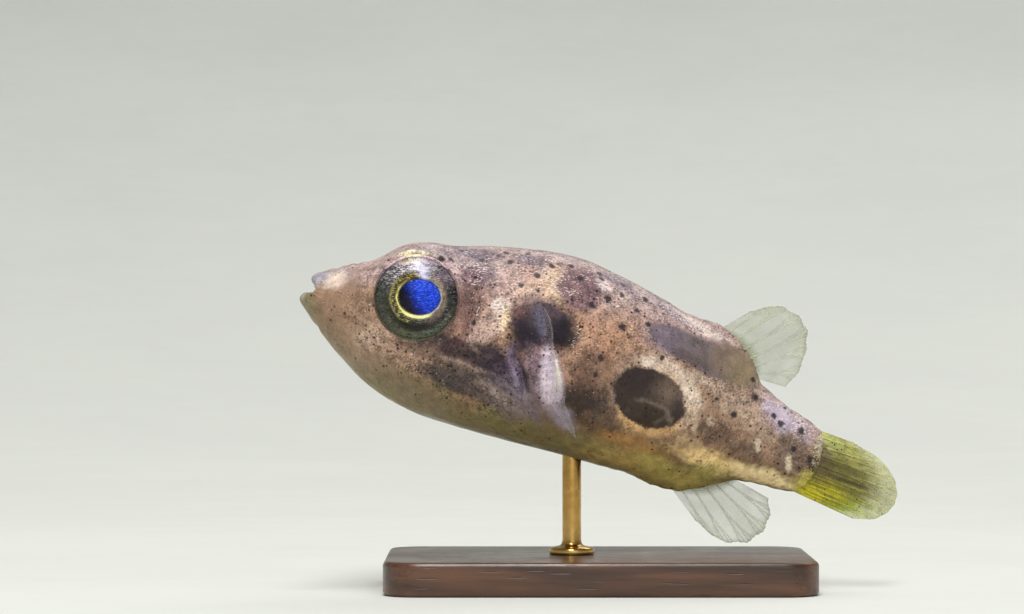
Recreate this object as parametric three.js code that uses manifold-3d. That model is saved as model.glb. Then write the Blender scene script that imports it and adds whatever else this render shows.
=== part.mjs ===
// A dwarf freshwater pufferfish, life size, swimming nose-up on a small display stand.
// Millimetres, +Z up. The nose points to -X, the tail to +X and the fish's left flank to -Y.
// The origin is the middle of the stand's underside.
//
// The fish is worked out in its own frame first: x runs from the lower lip back to the tail,
// y across the body and z up its back. One group then pitches it nose-up over the stand.
import * as THREE from 'three';
import { mergeVertices } from 'three/addons/utils/BufferGeometryUtils.js';
import Module from 'manifold-3d';

const wasm = await Module();
wasm.setup();

// ---- driving dimensions -------------------------------------------------------------------

const SWIM_PITCH = THREE.MathUtils.degToRad(19); // nose-up tilt of the fish's axis
const PARTING_GAP = 0.25; // thin cuts between the named lengths of the body, and round the eyes
const SIDES = { left: -1, right: 1 }; // sign of y on each side of the fish

// The body is lofted through these rings, from the back of the mouth out over the lips and back
// to the root of the tail fin. back and belly are the ring's top and bottom as [x, z], half is
// its half width, sweep carries its sides back (+x) of the line from back to belly, and crown
// and keel are the roundness of its upper and lower half: 1 is an ellipse, less is squarer.
const RINGS = [
  { back: [1.3, 0.62], belly: [1.3, 0.62], half: 0, sweep: 0, crown: 1, keel: 1 },
  { back: [1.08, 0.78], belly: [1.06, 0.46], half: 0.42, sweep: 0, crown: 1, keel: 1 },
  { back: [0.78, 0.76], belly: [0.72, 0.34], half: 0.62, sweep: 0.05, crown: 1, keel: 1 },
  { back: [0.5, 0.7], belly: [0.36, 0.26], half: 0.74, sweep: 0.26, crown: 1, keel: 1 },
  { back: [0.31, 0.77], belly: [0.12, 0.17], half: 0.8, sweep: 0.4, crown: 1, keel: 1 },
  { back: [0.23, 0.97], belly: [0.02, -0.06], half: 0.87, sweep: 0.44, crown: 1, keel: 1 },
  { back: [0.36, 1.18], belly: [0.12, -0.26], half: 0.92, sweep: 0.38, crown: 1, keel: 1 },
  { back: [0.62, 1.36], belly: [0.42, -0.5], half: 0.98, sweep: 0.26, crown: 0.97, keel: 1 },
  { back: [1.0, 1.64], belly: [0.9, -0.88], half: 1.18, sweep: 0.16, crown: 0.94, keel: 1 },
  { back: [1.7, 2.09], belly: [1.6, -1.38], half: 1.55, sweep: 0.1, crown: 0.9, keel: 1 },
  { back: [2.66, 2.64], belly: [2.58, -2.0], half: 1.98, sweep: 0.03, crown: 0.82, keel: 1 },
  { back: [3.6, 3.62], belly: [3.7, -2.58], half: 2.32, sweep: 0, crown: 0.72, keel: 1 },
  { back: [4.6, 4.12], belly: [4.8, -2.97], half: 2.55, sweep: 0, crown: 0.66, keel: 1 },
  { back: [5.8, 4.36], belly: [6.0, -3.22], half: 2.78, sweep: 0, crown: 0.72, keel: 0.98 },
  { back: [7.2, 4.84], belly: [7.4, -3.3], half: 3.04, sweep: 0, crown: 0.86, keel: 0.95 },
  { back: [9.2, 5.37], belly: [9.3, -3.2], half: 3.3, sweep: 0, crown: 0.96, keel: 0.92 },
  { back: [11.3, 5.66], belly: [11.45, -3.05], half: 3.4, sweep: 0, crown: 1, keel: 0.9 },
  { back: [13.4, 5.48], belly: [13.6, -2.9], half: 3.22, sweep: 0, crown: 1, keel: 0.92 },
  { back: [15.4, 5.14], belly: [15.6, -2.8], half: 2.76, sweep: 0, crown: 1, keel: 0.96 },
  { back: [17.2, 4.64], belly: [17.3, -2.55], half: 2.22, sweep: 0, crown: 1, keel: 1 },
  { back: [18.8, 3.98], belly: [18.9, -2.08], half: 1.7, sweep: 0, crown: 1, keel: 1 },
  { back: [20.4, 3.16], belly: [20.5, -1.6], half: 1.27, sweep: 0, crown: 1, keel: 1 },
  { back: [21.8, 2.56], belly: [21.9, -1.33], half: 0.99, sweep: 0, crown: 0.95, keel: 0.95 },
  { back: [23.0, 2.22], belly: [23.1, -1.23], half: 0.79, sweep: 0, crown: 0.9, keel: 0.9 },
  { back: [23.75, 1.99], belly: [23.6, -1.15], half: 0.6, sweep: 0.1, crown: 0.9, keel: 0.9 },
  { back: [24.2, 1.55], belly: [24.05, -0.72], half: 0.36, sweep: 0.06, crown: 1, keel: 1 },
  { back: [24.42, 0.5], belly: [24.42, 0.5], half: 0, sweep: 0, crown: 1, keel: 1 },
];
const RING_STEP = 0.56; // aimed-for distance between the lofted rings
const SIDE_COUNT = 36; // points round each ring

// Fleshy ridges that carry the two fins of the midline: height over the body at each x.
const FIN_RIDGES = {
  dorsal: { x: [16.4, 17.3, 18.1, 18.9, 19.6, 20.2, 20.75], height: [0, 0.26, 0.62, 0.75, 0.66, 0.44, 0] },
  anal: { x: [16.3, 17.1, 18.0, 18.8, 19.6, 20.3, 21.0], height: [0, 0.2, 0.5, 0.66, 0.5, 0.26, 0] },
};
const RIDGE_HALF = 0.62; // half width of a ridge where it has fallen to a third of its height

// The fleshy lobe on each flank from which a pectoral fin's rays spread.
const LOBE = { x: 11.45, z: 0.5, half: [0.78, 1.75], lean: THREE.MathUtils.degToRad(24), height: 0.5 };

// The eye: a ball, flatter in front than behind, that stands out of a low turret of skin.
const EYE = { x: 5.0, z: 1.62, equator: 2.17, radius: 1.93, front: 0.9, back: 1.3 };
const TURRET = { y: 2.42, inner: 1.95, outer: 3.0, midline: [0.8, 1.8], brow: 0.1 };
const EYE_GRID = { around: 22, front: 5, back: 4 };

// Where the head, the trunk and the tail stalk are parted. The first cut runs down the gill slit.
const GILL_CUT = { x: 10.4, z: 0, lean: THREE.MathUtils.degToRad(-28) };
const STALK_CUT = { x: 21.15, z: 0, lean: 0 };
const LIP_CUT = { x: 1.02, z: 0, lean: 0 };
const MOUTH_LINE = { x: 0.3, z: 0.44, rise: THREE.MathUtils.degToRad(12) };

// The beak: a plate of tooth in each jaw.
const TOOTH = { half: 0.5, front: 0.46, back: 0.9, height: 0.13, lift: 0.065 };

// Each fin is a fan of rays. root lists points along its foot in the fish's frame, and tilt and
// length the direction (degrees above the axis) and length of the rays from front to back.
const FIN_THICKNESS = 0.5;
const RAY_RELIEF = 0.1; // how far a ray stands out of its fin on each side
const ROOT_SINK = 0.5; // a fin's foot starts this deep, and is then trimmed clear of the skin
const SCALLOP = 0.035; // share of a ray's length by which the web falls short between rays
const FINS = {
  dorsal: {
    root: [[18.25, 4.75], [19.0, 4.6], [19.8, 4.1], [20.3, 3.6], [20.62, 3.15]],
    tilt: [49, 55, 47, 33, 3],
    length: [1.53, 2.4, 2.85, 2.3, 1.2],
    rays: 8,
    rows: 4,
  },
  anal: {
    root: [[18.5, -2.75], [19.2, -2.55], [19.9, -2.15], [20.5, -1.8], [21.1, -1.45]],
    tilt: [-34, -40, -34, -21, -10],
    length: [1.77, 2.6, 3.15, 2.8, 1.65],
    rays: 7,
    rows: 4,
  },
  caudal: {
    root: [[23.7, 1.88], [23.95, 1.2], [24.0, 0.42], [23.9, -0.4], [23.55, -1.08]],
    tilt: [-1, 1, -1.7, -3.2, -5.5],
    length: [2.4, 3.5, 4.1, 4.05, 3.37],
    rays: 9,
    rows: 5,
  },
};
// The pectoral fin stands out from the flank and twists: its upper rays point out and up, its
// lower ones out, down and back. Angles are in degrees; root gives [x, z] on the flank.
const PECTORAL = {
  root: [[10.9, 1.9], [11.4, 1.25], [11.76, 0.55], [12.0, -0.15], [12.1, -0.8]],
  rise: [30, 14, 0, -12, -26],
  swept: [-16, -10, -4, 10, 34],
  length: [2.3, 3.1, 3.4, 3.2, 2.5],
  rays: 10,
  rows: 4,
};

const STAND = {
  base: { length: 19, width: 12.5, height: 1.5, corner: 1.6, bevel: 0.22 },
  rod: { radius: 0.42, foot: 1.0, footHeight: 0.26, socket: 0.8, entry: 1.3, clearance: 0.15 },
  rodAt: -1.2, // x of the rod, under the middle of the belly
  lipHeight: 13.05, // of the fish's own origin, by the lower lip, over the underside of the base
};

const COLOURS = {
  skin: 0xa98570,
  back: 0x8d7463,
  lip: 0xc4a693,
  iris: 0x2c3230,
  tooth: 0xf1ede2,
  fin: 0xb9bf95,
  tail: 0xa7a24a,
  wood: 0x4a2c1b,
  brass: 0xc29b4b,
};

// ---- small tools --------------------------------------------------------------------------

const finish = (color, roughness, metalness = 0) =>
  new THREE.MeshStandardMaterial({ color, roughness, metalness });

// A smooth value through evenly spaced knots at t in 0 .. knots.length - 1 (Catmull-Rom).
function through(knots, t) {
  const last = knots.length - 1;
  const i = Math.min(Math.floor(t), last - 1);
  const f = t - i;
  const k = (n) => knots[Math.min(Math.max(n, 0), last)];
  const [a, b, c, d] = [k(i - 1), k(i), k(i + 1), k(i + 2)];
  const bend = 2 * a - 5 * b + 4 * c - d + (3 * (b - c) + d - a) * f;
  return b + 0.5 * f * (c - a + f * bend);
}

// The same for a list of [x, z] knots, with share running from 0 to 1.
function pointThrough(knots, share) {
  const t = share * (knots.length - 1);
  return [0, 1].map((n) => through(knots.map((k) => k[n]), t));
}

// Straight-line value of ys over the rising xs, held level past both ends.
function level(xs, ys, x) {
  const i = xs.findIndex((known) => known > x);
  if (i <= 0) return i === 0 ? ys[0] : ys[ys.length - 1];
  return THREE.MathUtils.mapLinear(x, xs[i - 1], xs[i], ys[i - 1], ys[i]);
}

const power = (value, exponent) => Math.sign(value) * Math.abs(value) ** exponent;
const smooth = THREE.MathUtils.smoothstep;
const bell = (value) => Math.exp(-(value ** 2));

// three.js geometry to a manifold solid, and back.
function solid(geometry) {
  const bare = geometry.index ? geometry.toNonIndexed() : geometry.clone();
  bare.deleteAttribute('normal');
  bare.deleteAttribute('uv');
  const merged = mergeVertices(bare, 1e-5);
  return new wasm.Manifold(new wasm.Mesh({
    numProp: 3,
    vertProperties: merged.attributes.position.array,
    triVerts: new Uint32Array(merged.index.array),
  }));
}

function geometryOf(manifold) {
  const { numProp, vertProperties, triVerts } = manifold.getMesh();
  const places = new Float32Array((vertProperties.length / numProp) * 3);
  for (let i = 0; i < places.length / 3; i += 1) {
    places.set(vertProperties.subarray(i * numProp, i * numProp + 3), i * 3);
  }
  const geometry = new THREE.BufferGeometry();
  geometry.setAttribute('position', new THREE.BufferAttribute(places, 3));
  geometry.setIndex(new THREE.BufferAttribute(new Uint32Array(triVerts), 1));
  geometry.computeVertexNormals();
  return geometry;
}

// A closed surface over rings of points. The first and last ring are single points.
function closedLoft(rings) {
  const places = [];
  const faces = [];
  const starts = rings.map((ring) => {
    const start = places.length / 3;
    ring.forEach((p) => places.push(p.x, p.y, p.z));
    return start;
  });
  for (let i = 0; i + 1 < rings.length; i += 1) {
    const count = Math.max(rings[i].length, rings[i + 1].length);
    const at = (n, j) => starts[n] + (rings[n].length === 1 ? 0 : j % count);
    for (let j = 0; j < count; j += 1) {
      const [a, b, c, d] = [at(i, j), at(i, j + 1), at(i + 1, j + 1), at(i + 1, j)];
      if (a !== b) faces.push(a, b, c);
      if (c !== d) faces.push(a, c, d);
    }
  }
  const geometry = new THREE.BufferGeometry();
  geometry.setAttribute('position', new THREE.Float32BufferAttribute(places, 3));
  geometry.setIndex(faces);
  return geometry;
}

// A big block on one side of a leaning cut across the fish: side -1 keeps the nose side.
function halfSpace({ x, z, lean }, side, gap = PARTING_GAP) {
  const size = 80;
  const block = new THREE.BoxGeometry(size, size, size);
  block.translate((side * (size + gap)) / 2, 0, 0);
  block.rotateY(lean);
  block.translate(x, 0, z);
  return solid(block);
}

// ---- the body -----------------------------------------------------------------------------

const TRACKS = {
  backX: RINGS.map((ring) => ring.back[0]),
  backZ: RINGS.map((ring) => ring.back[1]),
  bellyX: RINGS.map((ring) => ring.belly[0]),
  bellyZ: RINGS.map((ring) => ring.belly[1]),
  half: RINGS.map((ring) => ring.half),
  sweep: RINGS.map((ring) => ring.sweep),
  crown: RINGS.map((ring) => ring.crown),
  keel: RINGS.map((ring) => ring.keel),
};

// The ring at t: its middle and half height, and how its top leans, with the values above.
function ringAt(t) {
  const track = (key) => through(TRACKS[key], t);
  const [backX, backZ, bellyX, bellyZ] = ['backX', 'backZ', 'bellyX', 'bellyZ'].map(track);
  return {
    x: (backX + bellyX) / 2,
    z: (backZ + bellyZ) / 2,
    lean: (backX - bellyX) / 2,
    tall: (backZ - bellyZ) / 2,
    half: Math.max(track('half'), 0),
    sweep: track('sweep'),
    crown: track('crown'),
    keel: track('keel'),
  };
}

// How far the lobe of a pectoral fin lifts the flank at [x, z].
function lobeAt(x, z) {
  const [dx, dz] = [x - LOBE.x, z - LOBE.z];
  const across = dx * Math.cos(LOBE.lean) + dz * Math.sin(LOBE.lean);
  const along = dz * Math.cos(LOBE.lean) - dx * Math.sin(LOBE.lean);
  return LOBE.height * bell(across / LOBE.half[0]) * bell(along / LOBE.half[1]);
}

// One point of the skin: t counts rings of RINGS, turn goes round from the back over the left
// flank to the belly and up the right flank. grow lifts the point off the skin.
function skinPoint(t, turn, grow = 0) {
  const ring = ringAt(t);
  const [up, out] = [Math.cos(turn), Math.sin(turn)];
  const round = up > 0 ? ring.crown : ring.keel;
  const high = power(up, round);
  const x = ring.x + ring.lean * high + ring.sweep * out * out;
  let y = -ring.half * power(out, round);
  let z = ring.z + ring.tall * high;

  const fin = up > 0 ? FIN_RIDGES.dorsal : FIN_RIDGES.anal;
  z += Math.sign(up) * bell(y / RIDGE_HALF) * level(fin.x, fin.height, x);

  const reach = Math.hypot(x - EYE.x, z - EYE.z);
  const held = (1 - smooth(reach, TURRET.inner, TURRET.outer))
    * smooth(Math.abs(y), ...TURRET.midline);
  y += held * (Math.sign(y) * TURRET.y - y);
  z += held * TURRET.brow * smooth(z - EYE.z, 0.8, 2.2);
  y += Math.sign(y) * lobeAt(x, z) * smooth(Math.abs(y), 1.5, 2.5);

  const off = new THREE.Vector2(y, (z - ring.z) * 0.6);
  if (off.length() > 0) off.setLength(grow);
  return new THREE.Vector3(x, y + off.x, z + off.y);
}

// Ring positions t, spread so that neighbours lie about RING_STEP apart along the back.
function ringPlaces() {
  const places = [];
  for (let i = 0; i + 1 < RINGS.length; i += 1) {
    const [a, b] = [RINGS[i].back, RINGS[i + 1].back];
    const count = Math.max(1, Math.round(Math.hypot(a[0] - b[0], a[1] - b[1]) / RING_STEP));
    for (let j = 0; j < count; j += 1) places.push(i + j / count);
  }
  return [...places, RINGS.length - 1];
}

// The whole body as one solid. Points crowd towards the back and belly, where the ridges are.
function wholeBody(grow = 0) {
  const crowding = 0.22;
  const rings = ringPlaces().map((t) => {
    if (t === 0 || t === RINGS.length - 1) return [skinPoint(t, 0)];
    return Array.from({ length: SIDE_COUNT }, (_, j) => {
      const even = (j / SIDE_COUNT) * 2 * Math.PI;
      return skinPoint(t, even - crowding * Math.sin(2 * even), grow);
    });
  });
  return solid(closedLoft(rings));
}

// An eyeball turned about its own axis, or its socket where there is a clearance.
function eyeball(side, clearance = 0) {
  const { around, front, back } = EYE_GRID;
  const profile = [];
  for (let i = -back; i <= front; i += 1) {
    const angle = ((i / (i > 0 ? front : back)) * Math.PI) / 2;
    const depth = (i > 0 ? EYE.front : EYE.back) + clearance;
    const radius = i === -back || i === front ? 0 : (EYE.radius + clearance) * Math.cos(angle);
    profile.push(new THREE.Vector2(radius, depth * Math.sin(angle)));
  }
  const ball = new THREE.LatheGeometry(profile, around);
  if (side < 0) ball.rotateX(Math.PI);
  ball.translate(EYE.x, side * EYE.equator, EYE.z);
  return solid(ball);
}

// A jaw's tooth plate: the front of a D-shaped slab, curved like the lip that it stands in.
function toothPlate(jaw) {
  const outline = new THREE.Shape();
  outline.moveTo(TOOTH.back, -TOOTH.half);
  outline.bezierCurveTo(
    TOOTH.front, -TOOTH.half, TOOTH.front, TOOTH.half, TOOTH.back, TOOTH.half,
  );
  const plate = new THREE.ExtrudeGeometry(outline, {
    depth: TOOTH.height, bevelEnabled: false, curveSegments: 10,
  });
  plate.translate(0, 0, jaw > 0 ? TOOTH.lift : -TOOTH.lift - TOOTH.height);
  plate.translate(-MOUTH_LINE.x, 0, 0);
  plate.rotateY(-MOUTH_LINE.rise);
  plate.translate(MOUTH_LINE.x, 0, MOUTH_LINE.z);
  return geometryOf(solid(plate));
}

// ---- the fins -----------------------------------------------------------------------------

// A fin from place(across, along), which gives a point of its middle surface: across runs from
// the first ray to the last, along from foot to edge. Two columns of points serve each ray.
function finSolid(place, rays, rows) {
  const columns = 2 * rays - 1;
  const step = 1e-3;
  const sheet = (side) => Array.from({ length: columns }, (_, i) =>
    Array.from({ length: rows + 1 }, (__, j) => {
      const [across, along] = [i / (columns - 1), j / rows];
      const point = place(across, along);
      const cross = place(Math.min(across + step, 1), along)
        .sub(place(Math.max(across - step, 0), along));
      const down = place(across, Math.min(along + step, 1))
        .sub(place(across, Math.max(along - step, 0)));
      const onRay = i % 2 === 0 ? RAY_RELIEF : 0;
      const thickness = FIN_THICKNESS / 2 + onRay * (1 - 0.6 * along);
      return point.addScaledVector(cross.cross(down).normalize(), side * thickness);
    }));
  const [front, back] = [sheet(1), sheet(-1)];
  const places = [];
  [front, back].forEach((face) => face.flat().forEach((p) => places.push(p.x, p.y, p.z)));
  const at = (face, i, j) => face * columns * (rows + 1) + i * (rows + 1) + j;
  const faces = [];
  const quad = (a, b, c, d) => faces.push(a, b, c, a, c, d);
  for (let i = 0; i + 1 < columns; i += 1) {
    for (let j = 0; j < rows; j += 1) {
      quad(at(0, i, j), at(0, i + 1, j), at(0, i + 1, j + 1), at(0, i, j + 1));
      quad(at(1, i, j), at(1, i, j + 1), at(1, i + 1, j + 1), at(1, i + 1, j));
    }
    quad(at(0, i, 0), at(1, i, 0), at(1, i + 1, 0), at(0, i + 1, 0));
    quad(at(0, i, rows), at(0, i + 1, rows), at(1, i + 1, rows), at(1, i, rows));
  }
  for (let j = 0; j < rows; j += 1) {
    quad(at(0, 0, j), at(0, 0, j + 1), at(1, 0, j + 1), at(1, 0, j));
    quad(at(0, columns - 1, j), at(1, columns - 1, j), at(1, columns - 1, j + 1),
      at(0, columns - 1, j + 1));
  }
  const geometry = new THREE.BufferGeometry();
  geometry.setAttribute('position', new THREE.Float32BufferAttribute(places, 3));
  geometry.setIndex(faces);
  const made = solid(geometry);
  if (made.volume() > 0) return made;
  geometry.setIndex(faces.reverse());
  return solid(geometry);
}

// The web's edge dips between neighbouring rays.
function reachOf(lengths, across, rays) {
  const length = through(lengths, across * (lengths.length - 1));
  return length * (1 - SCALLOP * Math.sin(across * (rays - 1) * Math.PI) ** 2);
}

// A fin that stands in the fish's midplane.
function midFin({ root, tilt, length, rays, rows }) {
  return finSolid((across, along) => {
    const [x, z] = pointThrough(root, across);
    const angle = THREE.MathUtils.degToRad(through(tilt, across * (tilt.length - 1)));
    const run = -ROOT_SINK + along * (reachOf(length, across, rays) + ROOT_SINK);
    return new THREE.Vector3(x + run * Math.cos(angle), 0, z + run * Math.sin(angle));
  }, rays, rows);
}

// Half the body's width at [x, z] on the flank.
function flankHalf(x, z) {
  let [ahead, behind] = [8, RINGS.length - 2];
  while (behind - ahead > 1e-3) {
    const t = (ahead + behind) / 2;
    if (ringAt(t).x < x) ahead = t;
    else behind = t;
  }
  const ring = ringAt(ahead);
  const high = (z - ring.z) / ring.tall;
  const round = high > 0 ? ring.crown : ring.keel;
  const out = Math.sqrt(1 - Math.abs(high) ** (2 / round));
  return ring.half * out ** round + lobeAt(x, z);
}

function pectoralFin(side) {
  const { root, rise, swept, length, rays, rows } = PECTORAL;
  const depths = root.map(([x, z]) => flankHalf(x, z));
  return finSolid((across, along) => {
    const t = across * (root.length - 1);
    const [x, z] = pointThrough(root, across);
    const up = THREE.MathUtils.degToRad(through(rise, t));
    const back = THREE.MathUtils.degToRad(through(swept, t));
    const run = -ROOT_SINK + along * (reachOf(length, across, rays) + ROOT_SINK);
    const curl = 0.03 * run * run; // rays bow back towards their tips
    return new THREE.Vector3(
      x + run * Math.cos(up) * Math.sin(back) + curl,
      side * (through(depths, t) + run * Math.cos(up) * Math.cos(back)),
      z + run * Math.sin(up),
    );
  }, rays, rows);
}

// ---- the stand ----------------------------------------------------------------------------

function baseShape({ length, width, corner }, inset) {
  const [x, y] = [length / 2 - inset, width / 2 - inset];
  const r = corner - inset;
  const outline = new THREE.Shape();
  outline.absarc(x - r, y - r, r, 0, Math.PI / 2);
  outline.absarc(-x + r, y - r, r, Math.PI / 2, Math.PI);
  outline.absarc(-x + r, -y + r, r, Math.PI, 1.5 * Math.PI);
  outline.absarc(x - r, -y + r, r, 1.5 * Math.PI, 2 * Math.PI);
  return outline;
}

function baseBlock() {
  const { height, bevel } = STAND.base;
  const block = new THREE.ExtrudeGeometry(baseShape(STAND.base, bevel), {
    depth: height - 2 * bevel,
    bevelThickness: bevel,
    bevelSize: bevel,
    bevelSegments: 2,
    curveSegments: 4,
  });
  block.translate(0, 0, bevel);
  return solid(block);
}

// The rod, turned in one piece with its round foot and the spigot below it. grow gives the
// hole that takes it, in the base or in the belly.
function rodLathe(top, grow = 0) {
  const { radius, foot, footHeight, socket, clearance } = STAND.rod;
  const deck = STAND.base.height + clearance;
  const profile = grow > 0
    ? [[0, STAND.base.height - socket - grow], [radius + grow, STAND.base.height - socket - grow],
      [radius + grow, top + grow], [0, top + grow]]
    : [[0, STAND.base.height - socket], [radius, STAND.base.height - socket], [radius, deck],
      [foot, deck], [foot, deck + footHeight * 0.5], [foot * 0.86, deck + footHeight],
      [radius, deck + footHeight * 1.25], [radius, top - radius * 0.4],
      [radius * 0.7, top], [0, top]];
  const turned = new THREE.LatheGeometry(profile.map(([r, z]) => new THREE.Vector2(r, z)), 18);
  turned.rotateX(Math.PI / 2);
  turned.translate(STAND.rodAt, 0, 0);
  return solid(turned);
}

// ---- assembly -----------------------------------------------------------------------------

const fish = new THREE.Group();
fish.rotation.y = SWIM_PITCH;
const stand = new THREE.Group();
const model = new THREE.Group();
model.add(fish, stand);

function add(group, name, geometry, material) {
  const mesh = new THREE.Mesh(geometry, material);
  mesh.name = name;
  group.add(mesh);
  return mesh;
}

const skin = finish(COLOURS.skin, 0.45);
const finWeb = finish(COLOURS.fin, 0.35);
const glassy = finish(COLOURS.iris, 0.08);

let body = wholeBody();
Object.values(SIDES).forEach((side) => {
  body = body.subtract(eyeball(side, PARTING_GAP));
});
const coat = wholeBody(PARTING_GAP);

const lips = body.intersect(halfSpace(LIP_CUT, -1));
const mouthPlane = { x: MOUTH_LINE.x, z: MOUTH_LINE.z, lean: -Math.PI / 2 - MOUTH_LINE.rise };
const headAndBack = body.intersect(halfSpace(LIP_CUT, 1));
const lipParts = {
  lip_upper: lips.intersect(halfSpace(mouthPlane, 1)),
  lip_lower: lips.intersect(halfSpace(mouthPlane, -1)),
};
Object.entries(lipParts).forEach(([name, part]) =>
  add(fish, name, geometryOf(part), finish(COLOURS.lip, 0.4)));
add(fish, 'head', geometryOf(headAndBack.intersect(halfSpace(GILL_CUT, -1))), skin);
const trunk = headAndBack.intersect(halfSpace(GILL_CUT, 1)).intersect(halfSpace(STALK_CUT, -1));
const trunkMesh = add(fish, 'trunk', geometryOf(trunk), skin);
add(fish, 'tail_stalk', geometryOf(headAndBack.intersect(halfSpace(STALK_CUT, 1))),
  finish(COLOURS.back, 0.45));

add(fish, 'teeth_upper', toothPlate(1), finish(COLOURS.tooth, 0.2));
add(fish, 'teeth_lower', toothPlate(-1), finish(COLOURS.tooth, 0.2));
Object.entries(SIDES).forEach(([name, side]) => {
  add(fish, `eye_${name}`, geometryOf(eyeball(side)), glassy);
  add(fish, `fin_pectoral_${name}`, geometryOf(pectoralFin(side).subtract(coat)), finWeb);
});
add(fish, 'fin_dorsal', geometryOf(midFin(FINS.dorsal).subtract(coat)), finWeb);
add(fish, 'fin_anal', geometryOf(midFin(FINS.anal).subtract(coat)), finWeb);
add(fish, 'fin_caudal', geometryOf(midFin(FINS.caudal).subtract(coat)), finish(COLOURS.tail, 0.35));

// The fish hangs centred over the base.
const reach = new THREE.Box3().setFromObject(fish, true);
fish.position.x = -(reach.min.x + reach.max.x) / 2;
fish.position.z = STAND.lipHeight;
fish.updateMatrixWorld(true);

// The rod ends inside the belly, in a socket cut up into the trunk.
function bellyAbove(x) {
  const points = trunkMesh.geometry.getAttribute('position');
  const place = new THREE.Vector3();
  let lowest = Infinity;
  for (let i = 0; i < points.count; i += 1) {
    place.fromBufferAttribute(points, i).applyMatrix4(trunkMesh.matrixWorld);
    if (Math.hypot(place.x - x, place.y) < 1) lowest = Math.min(lowest, place.z);
  }
  return lowest;
}
const rodTop = bellyAbove(STAND.rodAt) + STAND.rod.entry;
const rodHole = rodLathe(rodTop, STAND.rod.clearance);
const intoFish = fish.matrixWorld.clone().invert();
trunkMesh.geometry = geometryOf(trunk.subtract(solid(
  geometryOf(rodHole).applyMatrix4(intoFish))));

add(stand, 'stand_base', geometryOf(baseBlock().subtract(rodHole)), finish(COLOURS.wood, 0.35));
add(stand, 'stand_rod', geometryOf(rodLathe(rodTop)), finish(COLOURS.brass, 0.2, 1));

export default model;
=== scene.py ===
"""A dwarf freshwater pufferfish, life size, swimming nose-up on a small display stand.

The fish is worked out in millimetres in its own frame: x runs from the lower lip back to the
tail, y across the body (the left flank is -y) and z up its back. placed() pitches it nose-up
into the row frame and turns it into metres.
"""

import math

import bpy
import numpy as np
from bpy.props import FloatProperty, FloatVectorProperty, PointerProperty
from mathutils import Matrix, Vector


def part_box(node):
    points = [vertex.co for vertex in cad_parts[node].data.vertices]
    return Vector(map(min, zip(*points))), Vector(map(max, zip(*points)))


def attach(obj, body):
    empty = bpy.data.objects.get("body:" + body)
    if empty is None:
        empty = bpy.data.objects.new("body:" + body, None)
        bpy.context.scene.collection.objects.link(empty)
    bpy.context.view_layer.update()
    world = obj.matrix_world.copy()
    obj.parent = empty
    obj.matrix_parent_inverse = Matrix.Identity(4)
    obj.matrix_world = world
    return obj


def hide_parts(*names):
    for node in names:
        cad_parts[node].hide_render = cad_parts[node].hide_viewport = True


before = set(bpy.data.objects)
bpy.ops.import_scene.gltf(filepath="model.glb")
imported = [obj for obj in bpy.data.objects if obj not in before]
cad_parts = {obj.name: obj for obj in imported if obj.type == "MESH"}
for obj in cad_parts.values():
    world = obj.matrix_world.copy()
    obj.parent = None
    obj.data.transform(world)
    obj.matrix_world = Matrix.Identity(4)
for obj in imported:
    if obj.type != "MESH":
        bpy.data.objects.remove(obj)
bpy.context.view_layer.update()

bl_info = {
    "name": "Pufferfish on a Stand",
    "version": (1, 0, 0),
    "blender": (4, 5, 0),
    "location": "View3D > Sidebar > Puffer",
    "description": "Builds a life-size freshwater pufferfish model and its display stand",
    "category": "Object",
}

MM = 0.001

# ---- the fish's own sizes, in its own frame, in millimetres --------------------------------

SWIM_PITCH = math.radians(19)

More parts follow.
